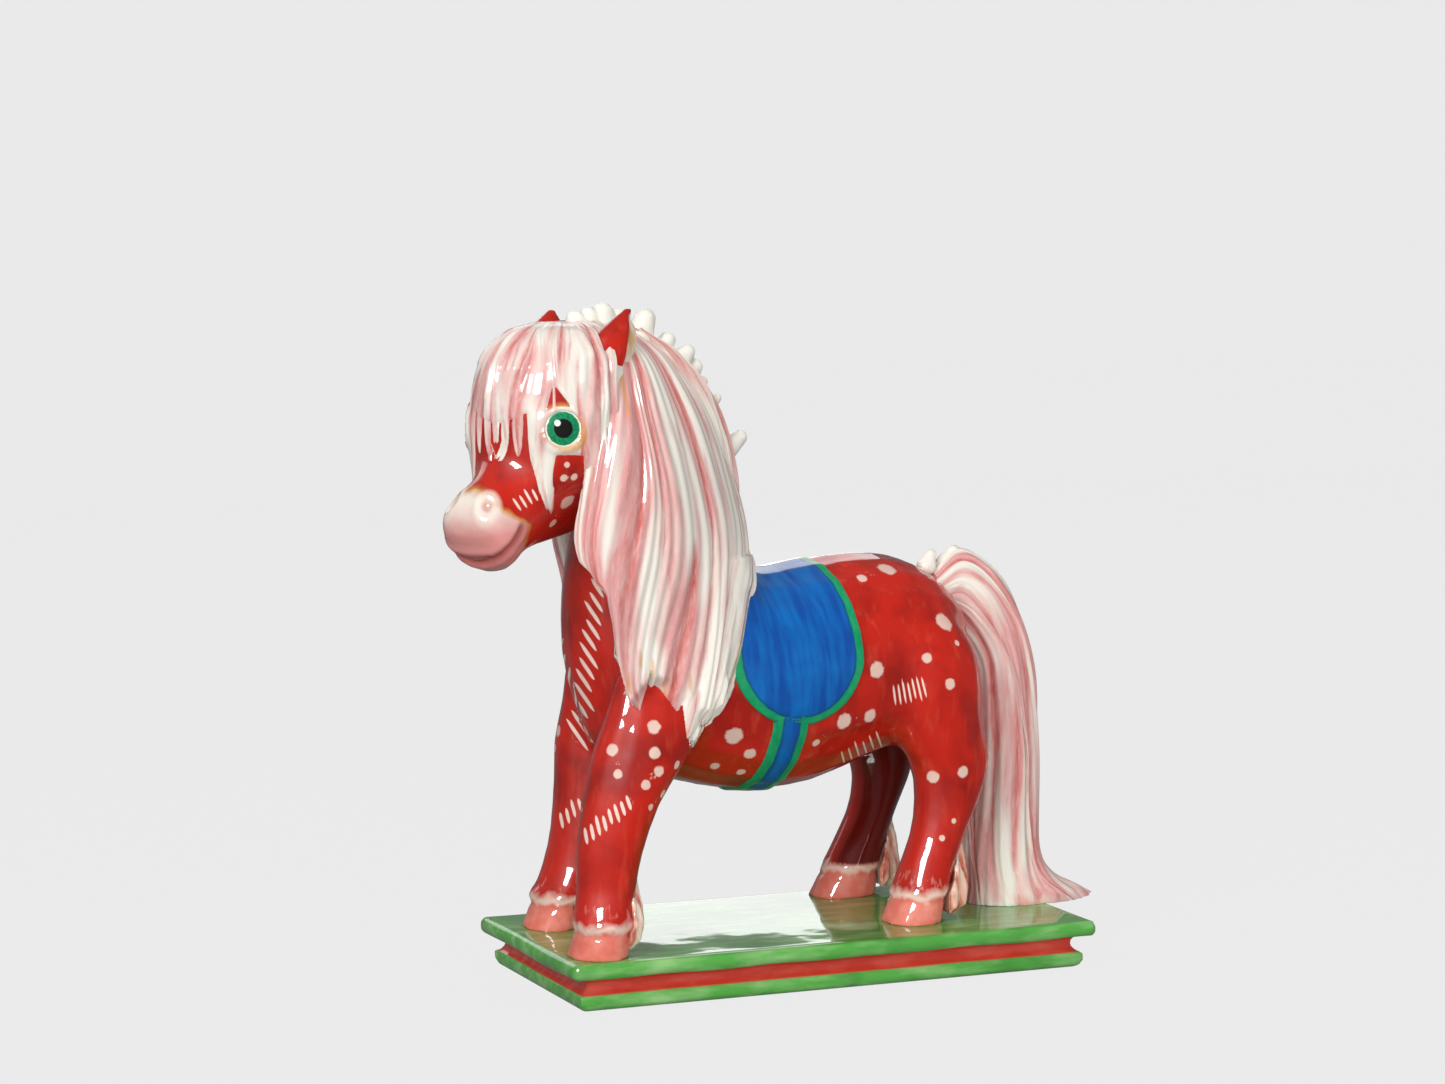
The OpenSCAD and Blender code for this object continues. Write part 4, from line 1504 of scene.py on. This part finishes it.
@dataclass
class SaddleCloth:
    """Thin sheet of clay over the back, round at both ends, and the girth below it."""

    middle: Pair = (6.0, 109.5)
    radius: float = 24.5
    thickness: float = 0.9
    # width of the rounded edge, how deep the sheet is pressed in, and its wall
    rounded: float = 1.3
    pressed: float = 0.15
    wall: float = 0.8
    girth_at: float = 3.0
    girth_half: float = 6.5
    axis_height: float = 99.0
    # half height of the barrel over its axis, and mm of cloth for one degree round it
    spread: float = 38.0
    per_degree: float = 0.62
    # height at which the cloth ends against the neck
    nape: float = 143.0
    # how far beyond the edge the sheet runs on under the skin, and the half angle of the girth in degrees
    hidden: float = 3.0
    girth_turn: float = 74.0

    def lower_edge(self, x: np.ndarray) -> np.ndarray:
        """Height of the cloth's lower edge at a place along the back."""
        return self.middle[1] - np.sqrt(np.maximum(self.radius ** 2 - (x - self.middle[0]) ** 2, 0.0))

    def sheet(self, name: str, x: np.ndarray, turn: np.ndarray, edge: Rule,
              size: tuple[int, int], host: Surface, finish: Material) -> None:
        """Roll a sheet out over the barrel.

        Args:
            name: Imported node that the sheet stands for.
            x: Place along the back of each point of the grid, in mm.
            turn: Angle over the back of each point, in radians from straight up.
            edge: Distance from the sheet's edge for places in the pony's frame.
            size: Points along the back and over it.
            host: Surface of the coat.
            finish: Painted glaze of the sheet.
        """
        ways = np.stack((np.zeros(len(x)), np.sin(turn), np.cos(turn)), axis=1)
        origin = PONY.out(np.zeros((1, 3)))[0]
        starts = PONY.out(np.stack((x, np.zeros(len(x)), np.full(len(x), self.axis_height)), axis=1))
        hits = [host.met(start, way) for start, way in zip(starts, PONY.out(ways) - origin)]
        skin, out = np.array([h[0] for h in hits]), np.array([h[1] for h in hits])
        inward = edge(PONY.inside(skin))
        flat = np.clip(inward / self.rounded, 0.0, 1.0)
        rise = self.thickness * np.sqrt(np.clip(1 - (1 - flat) ** 2, 0.0, 1.0))
        bm = bmesh.new()
        bmesh.ops.create_grid(bm, x_segments=size[0] - 1, y_segments=size[1] - 1, size=0.5)
        over = np.degrees(turn) * self.per_degree
        weave = bm.verts.layers.float_vector.new("weave")
        points = skin + out * (rise + np.clip(inward, -2.0, 0.0) - self.pressed)[:, None]
        for i, vert in enumerate(bm.verts):
            vert.co = points[i] * MM
            vert[weave] = (x[i], over[i], max(inward[i], 0.0))
        buried = [vert for i, vert in enumerate(bm.verts) if inward[i] < -self.hidden]
        bmesh.ops.recalc_face_normals(bm, faces=bm.faces)
        if sum(f.normal.dot(Vector(out[f.verts[0].index])) for f in bm.faces) < 0:
            bmesh.ops.reverse_faces(bm, faces=bm.faces)
        bmesh.ops.delete(bm, geom=buried, context="VERTS")
        bmesh.ops.solidify(bm, geom=bm.faces[:], thickness=self.wall * MM)
        finish_piece(f"{name}_sheet", poured(bm, name), finish, (name,))

    def build(self, host: Surface, finish: Material) -> None:
        """Lay the cloth over the back and the girth under the belly."""
        size = (71, 161)
        across, over = np.meshgrid(*(np.linspace(-1, 1, count) for count in size))
        x = self.middle[0] + self.radius * np.sin(across.ravel() * math.pi / 2) * 0.999
        low = np.arccos(np.clip((self.lower_edge(x) - self.axis_height) / self.spread, -0.999, 0.999))
        self.sheet("saddle_cloth", x, low * over.ravel(), self.cloth_edge, size, host, finish)
        size = (25, 101)
        across, over = np.meshgrid(*(np.linspace(-1, 1, count) for count in size))
        x = self.girth_at + self.girth_half * across.ravel()
        turn = math.pi + over.ravel() * math.radians(self.girth_turn)
        self.sheet("girth_strap", x, turn, self.girth_edge, size, host, finish)

    def cloth_edge(self, here: np.ndarray) -> np.ndarray:
        """Distance in mm from the cloth's edge, for places in the pony's frame."""
        aside = here[:, 0] - self.middle[0]
        drop = np.minimum(here[:, 2] - self.middle[1], 0.0)
        return np.minimum(self.radius - np.hypot(aside, drop), self.nape - here[:, 2])

    def girth_edge(self, here: np.ndarray) -> np.ndarray:
        """Distance in mm from the girth's edge, for places in the pony's frame."""
        return self.girth_half - np.abs(here[:, 0] - self.girth_at)


@dataclass
class Plinth:
    """Two round-edged slabs with a hollow band, a little uneven from the mould and the brush."""

    grain: float = 1.2
    passes: int = 8
    uneven: float = 0.3

    def build(self, finish: Material) -> None:
        """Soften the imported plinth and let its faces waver, with the underside kept flat."""
        mesh = kneaded(merged("plinth"), self.grain)
        points = relaxed(mesh, coords(mesh), self.passes)
        place(mesh, points)
        free = smoothstep(0.4, 3.0, points[:, 2])
        level = 1.0 - 0.8 * smoothstep(0.6, 0.9, normals(mesh)[:, 2])
        points = pushed(mesh, points, self.uneven * free * ripple(points, 34.0, 12) * level)
        points[:, 2] = np.maximum(points[:, 2], 0.0)
        place(mesh, points)
        finish_piece("plinth_slabs", mesh, finish, ("plinth",))


def mane_rows(side: Side) -> np.ndarray:
    """Sections of one side of the mane: front edge, rear edge, then bulges, from the poll to the hem."""
    rows = np.array((
        (-54, -5, 215, -36, 3, 215, 5, 4), (-58, -17, 205, -22, 4, 206, 10, 8),
        (-65.5, -25, 187, -9, 4, 190, 14, 10), (-70, -28, 168, -1, 3, 170, 17, 10),
        (-73.5, -29, 149, 2, -3, 150, 18, 10), (-72, -31, 130, -5, -18, 132, 12, 8),
        (-69, -32, 111, -13, -30, 113, 6, 6), (-66, -33, 95, -20, -35, 97, 4, 5),
        (-63, -35, 78, -28, -37, 79, 3, 4)), float)
    if side is Side.LEFT:
        return rows
    flipped = rows[:, (0, 1, 2, 3, 4, 5, 7, 6)] * (1, -1, 1, 1, -1, 1, 1, 1)
    flipped[:, 0] = np.minimum(flipped[:, 0] + np.where(flipped[:, 2] > 140.0, 21.0, 25.0), -40.0)
    flipped[:, 1] -= 3.0
    return flipped


def forelock_rows() -> np.ndarray:
    """Sections of the cap of hair on the head: brow, nape, height and half width."""
    rows = ((-25, 1, 217.5, 7), (-34.5, 3, 214.5, 15.5), (-42, 4, 207, 22), (-46, 4.5, 196, 25),
            (-47, 5, 183, 26), (-45.5, 5, 167, 26), (-41, 5, 150, 24.5), (-36, 6, 136, 23))
    return np.array([(brow, 0, z, nape, 0, z, wide, wide) for brow, nape, z, wide in rows], float)


def tail_rows() -> np.ndarray:
    """Sections of the tail: inner edge, outer edge, then bulges, from the dock to the plinth."""
    return np.array((
        (78, 0, 112, 80, 0, 130, 6, 6), (85, 0, 111, 90, 0, 137.5, 9, 9),
        (88, -1, 105, 101, -1, 132.5, 12, 12), (90, -3, 95, 111, -3, 117.5, 14, 14),
        (89, -5, 83, 115.5, -5, 99, 15, 15), (89, -7, 68, 116, -7, 75, 15.5, 15.5),
        (88, -9, 50, 114.5, -9, 50, 15.5, 15.5), (87, -11, 34, 114.5, -11, 34, 16, 16),
        (86, -13, 23, 119, -13, 25, 17, 17), (85, -14, 16, 128, -16, 20, 16, 16),
        (86, -15, 12, 134, -18, 16.5, 13, 15)), float)


def brow_reach(angle: np.ndarray) -> np.ndarray:
    """Row that the forelock reaches: down the face and the cheeks, short over the nape."""
    degrees, rows = (0, 53, 63, 112, 124, 180), (6.0, 5.8, 5.25, 5.25, 3.7, 3.3)
    return np.interp(np.minimum(angle, 360.0 - angle), degrees, rows)


def tail_reach(angle: np.ndarray) -> np.ndarray:
    """Row that the tail reaches: its last, all round."""
    return np.full(len(angle), len(tail_rows()) - 1.0)


def away_from_neck(side: Side) -> Rule:
    """Whether one side of the mane shows at an angle in degrees from its front edge."""
    return lambda angle: (angle > 180.0) == (side is Side.LEFT)


def hem_reach(side: Side) -> Rule:
    """Row that one side of the mane reaches: the hem outside, shorter on the neck's side."""
    def reach(angle: np.ndarray) -> np.ndarray:
        """Row at each angle in degrees from the front edge."""
        short = 8.0 - 1.7 * smoothstep(0.0, 25.0, np.minimum(angle, 360.0 - angle))
        return np.where(away_from_neck(side)(angle), 8.0, short)
    return reach


# Outlines that the hair leaves bare: the face below the fringe with the panel behind the long lock, both
# halves of the wedge over the eye, the eye, and all below the hem of the mane; the two shades and the touches
# are ochre, and the front edge of the mane is set back from the last outline
FACE_OUTLINE = Outline((
    (440, 490), (467, 473), (471, 466), (475.5, 456), (475, 441), (475.9, 422), (477.1, 422),
    (478.2, 441), (478.7, 456), (485, 443), (489, 433), (490.6, 416), (491.8, 416), (496, 442),
    (497.5, 448), (499.5, 443), (500.5, 424), (501.7, 424), (503.5, 440), (500, 452), (496, 463),
    (503, 463), (508, 452), (509.8, 443), (510.6, 421), (511.8, 421), (513.5, 437), (516, 450),
    (519.5, 462), (523, 448), (524, 433), (524.6, 415), (525.8, 415), (527, 440), (529, 457),
    (533, 472), (538, 492), (547, 515), (551, 507), (553, 490), (554, 473), (557, 456), (582.5, 457),
    (583, 473), (582, 497), (580, 515), (578, 530), (578, 545), (585, 600), (440, 600)), 1.1)
WEDGE_OUTLINES = (
    Outline(((552.5, 386), (546.5, 411), (552.5, 408))), Outline(((555, 386), (556, 407), (571, 407))))
EYE_OUTLINE = Outline(((563.5, 429),), 17.5)
EYE_SHADE = Outline(((568, 434),), 20.5)
EAR_SHADE = Outline(((620, 352), (618, 372), (628, 419), (631, 415), (623, 372)), 0.5)
HEM_TOUCHES = tuple(Outline(((x, y - 10), (x + 2, y - 3), (x + 2, y + 9), (x - 1, y + 3)), 1.3)
                    for x, y in ((640, 660), (652, 668), (664, 690), (690, 684), (686, 736), (628, 684)))
HEM_OUTLINE = Outline((
    (570, 710), (616, 655), (621, 674), (627, 697), (640, 711), (651, 671), (662, 692), (677, 713),
    (682, 703), (688, 747), (703, 720), (709, 734), (724, 716), (733, 689), (745, 645), (753, 598),
    (840, 560), (840, 900), (570, 900)))
FRONT_OUTLINE = Outline((
    (440, 540), (571, 547), (578, 562), (588, 570), (595, 583), (603, 587), (607, 600), (610, 616),
    (613, 630), (616, 655), (612, 720), (440, 720)))

CREST_ROLLS = (
    Roll((577, 328), (575, 319), 4.4, 3.0), Roll((588, 328), (588, 317), 4.8, 3.4),
    Roll((601, 327), (602, 313), 5.4, 3.6), Roll((617, 330), (617, 318), 4.8, 3.4),
    Roll((638, 337), (645, 319), 5.0, 3.5), Roll((660, 352), (667, 340), 3.8, 2.7),
    Roll((674, 366), (686, 353), 4.4, 2.9), Roll((683, 380), (695, 366), 4.2, 2.6),
    Roll((692, 394), (702, 382), 3.4, 2.0), Roll((705, 410), (717, 398), 3.0, 1.5),
    Roll((724, 451), (740, 437), 4.0, 2.4))
TAIL_ROLLS = (Roll((926, 566), (930, 556), 3.4, 2.3), Roll((948, 566), (953, 553), 4.4, 2.8))


# Studio


@dataclass(frozen=True)
class Softbox:
    """Rectangular studio light: place and aim in mm, size in mm, power in watts."""

    name: str
    at: Triple
    size: Pair
    power: float
    aim: Triple = (0.0, 0.0, 110.0)
    # whether the glaze mirrors it, and whether it lights the paint
    mirrored: bool = True
    lights: bool = True

    def hang(self) -> None:
        """Hang the light and turn it to its aim."""
        lamp = bpy.data.lights.new(self.name, "AREA")
        lamp.shape = "RECTANGLE"
        lamp.size, lamp.size_y = self.size[0] * MM, self.size[1] * MM
        lamp.energy = self.power
        holder = bpy.data.objects.new(self.name, lamp)
        way = Vector(self.aim) - Vector(self.at)
        turn = way.to_track_quat("-Z", "Y").to_matrix().to_4x4()
        holder.matrix_world = Matrix.Translation(Vector(self.at) * MM) @ turn
        holder.visible_camera = False
        holder.visible_glossy = self.mirrored
        holder.visible_diffuse = self.lights
        bpy.context.collection.objects.link(holder)


@dataclass(frozen=True)
class Studio:
    """Pale paper sweep, softboxes and camera."""

    paper: str = "#ECECEC"
    shade: str = "#262626"
    # front edge and half width of the paper in metres, and the steps of its curve from there to its top
    front: float = -2.5
    half_wide: float = 4.0
    curve: tuple[Triple, ...] = (
        (0.0, 4.5, 0.0), (0.0, 0.35, 0.1), (0.0, 0.25, 0.25), (0.0, 0.1, 0.35), (0.0, 0.0, 2.5))
    # light that the paper gives off by itself, and light from all round
    glow: float = 0.97
    around: float = 0.22
    boxes: tuple[Softbox, ...] = (
        Softbox("key", (-1010.0, -760.0, 960.0), (700.0, 700.0), 10.0, mirrored=False),
        Softbox("window", (-1010.0, -760.0, 900.0), (470.0, 470.0), 92.0, lights=False),
        Softbox("fill_right", (1200.0, -1500.0, 420.0), (2000.0, 820.0), 11.0, mirrored=False),
        Softbox("fill_front", (-350.0, -1700.0, 330.0), (1500.0, 640.0), 10.5, mirrored=False),
        Softbox("fill_left", (-1300.0, -1200.0, 380.0), (1600.0, 740.0), 8.5, mirrored=False),
        Softbox("top", (100.0, 200.0, 1400.0), (900.0, 900.0), 4.0, mirrored=False),
        Softbox("back", (585.0, 1390.0, 190.0), (200.0, 280.0), 0.36, (0.0, 0.0, 16.0)),
        Softbox("rim", (0.0, 1300.0, 750.0), (1600.0, 500.0), 3.6, lights=False))

    def build(self) -> None:
        """Lay the paper, hang the lights and set the camera."""
        scene = bpy.context.scene
        scene.view_settings.view_transform = "Standard"
        world = bpy.data.worlds.new("studio")
        world.use_nodes = True
        sky = world.node_tree.nodes["Background"].inputs
        sky["Color"].default_value = linear(self.paper)
        sky["Strength"].default_value = self.around
        scene.world = world
        self.lay_paper()
        for box in self.boxes:
            box.hang()
        VIEW.set_camera()

    def lay_paper(self) -> None:
        """Lay the sweep of pale paper, which glows by itself and throws no colour on the figure."""
        bm = bmesh.new()
        start = [bm.verts.new((side * self.half_wide, self.front, 0.0)) for side in (-1.0, 1.0)]
        edges = [bm.edges.new(start)]
        for way in self.curve:
            grown = bmesh.ops.extrude_edge_only(bm, edges=edges)["geom"]
            edges = [g for g in grown if isinstance(g, bmesh.types.BMEdge)]
            bmesh.ops.translate(bm, verts=list({v for e in edges for v in e.verts}), vec=way)
        bmesh.ops.recalc_face_normals(bm, faces=bm.faces)
        mesh = poured(bm, "paper_sweep")
        paper = bpy.data.materials.new("matt_paper_sweep")
        paper.use_nodes = True
        tree = paper.node_tree
        tree.nodes.clear()
        shader = put(tree, "BsdfPrincipled", {
            "Base Color": linear(self.shade), "Roughness": 1.0, "Specular IOR Level": 0.0,
            "Emission Color": linear(self.paper), "Emission Strength": self.glow})
        put(tree, "OutputMaterial", {"Surface": shader})
        mesh.materials.append(paper)
        sweep = bpy.data.objects.new("paper_sweep", mesh)
        bpy.context.collection.objects.link(sweep)
        sweep.visible_diffuse = sweep.visible_glossy = False


def main() -> None:
    """Build the studio and every piece of the figure, in the order a potter sets them on."""
    logging.basicConfig(level=logging.INFO, format="%(name)s %(message)s")
    Studio().build()
    Plinth().build(PlinthGlaze("glazed_earthenware_green_plinth", coat_ior=1.5, swell_depth_mm=0.02).build())
    coat = Coat()
    coat.build()
    skin = coat.dress()
    face = Face()
    face.build()
    cheek = face.dress()
    eye_glaze = EyeGlaze("glazed_earthenware_painted_eye").build()
    ear_glaze = EarGlaze("glazed_earthenware_red_ear").build()
    for side in Side:
        Eye(side).build(face, eye_glaze)
        Ear(side).build(ear_glaze)
    hair_glaze = HairGlaze("glazed_earthenware_streaked_hair").build()
    Hair("forelock", forelock_rows(), HEAD, locks=30, rings=150, seed=3, reach=brow_reach,
         bare=(FACE_OUTLINE, *WEDGE_OUTLINES, EYE_OUTLINE), touched=(EYE_SHADE,), depth=1.5, lies_mm=0.8,
         lies_over=8.0).build(hair_glaze, (cheek,))
    for side, seed in ((Side.LEFT, 11), (Side.RIGHT, 12)):
        washes = ((180.0 - side.value * 55.0, 34.0, -1.6), (180.0 - side.value * 130.0, 36.0, 2.2))
        Hair(f"mane_{side.name.lower()}", mane_rows(side), PONY, locks=23, rings=160, seed=seed,
             reach=hem_reach(side), bare=(HEM_OUTLINE,), trimmed=(FRONT_OUTLINE,),
             touched=(EAR_SHADE, *HEM_TOUCHES), per_lock=16, lies_mm=3.0, lies_over=4.5, pulled=(6.0, 2.5),
             guard=14.0, washes=washes, bleached=2.6, outer=away_from_neck(side),
             ochre=0.9).build(hair_glaze, (skin,))
    tail_glaze = HairGlaze("glazed_earthenware_streaked_tail", pink_share=1.2, red_share=0.7).build()
    Hair("tail", tail_rows(), PONY, locks=18, rings=140, seed=21, reach=tail_reach, wave=0.2,
         floor=PLINTH_TOP).build(tail_glaze)
    feather_glaze = HairGlaze("glazed_earthenware_streaked_feather", cream="#F0DCC8", pink="#E8AD97",
                              red="#BE4432", streak_mm=1.8, red_share=0.7).build()
    for name in ("left", "right"):
        Feather(f"front_{name}_feather").build(feather_glaze)
        Feather(f"rear_{name}_feather", longer=1.45, flare=2.5).build(feather_glaze)
    knot_glaze = KnotGlaze("glazed_earthenware_white_slip").build()
    Knots("crest_knots", CREST_ROLLS).build(knot_glaze)
    Knots("tail_knots", TAIL_ROLLS).build(knot_glaze)
    SaddleCloth().build(skin, ClothGlaze("glazed_earthenware_blue_cloth").build())


if __name__ == "__main__":
    main()
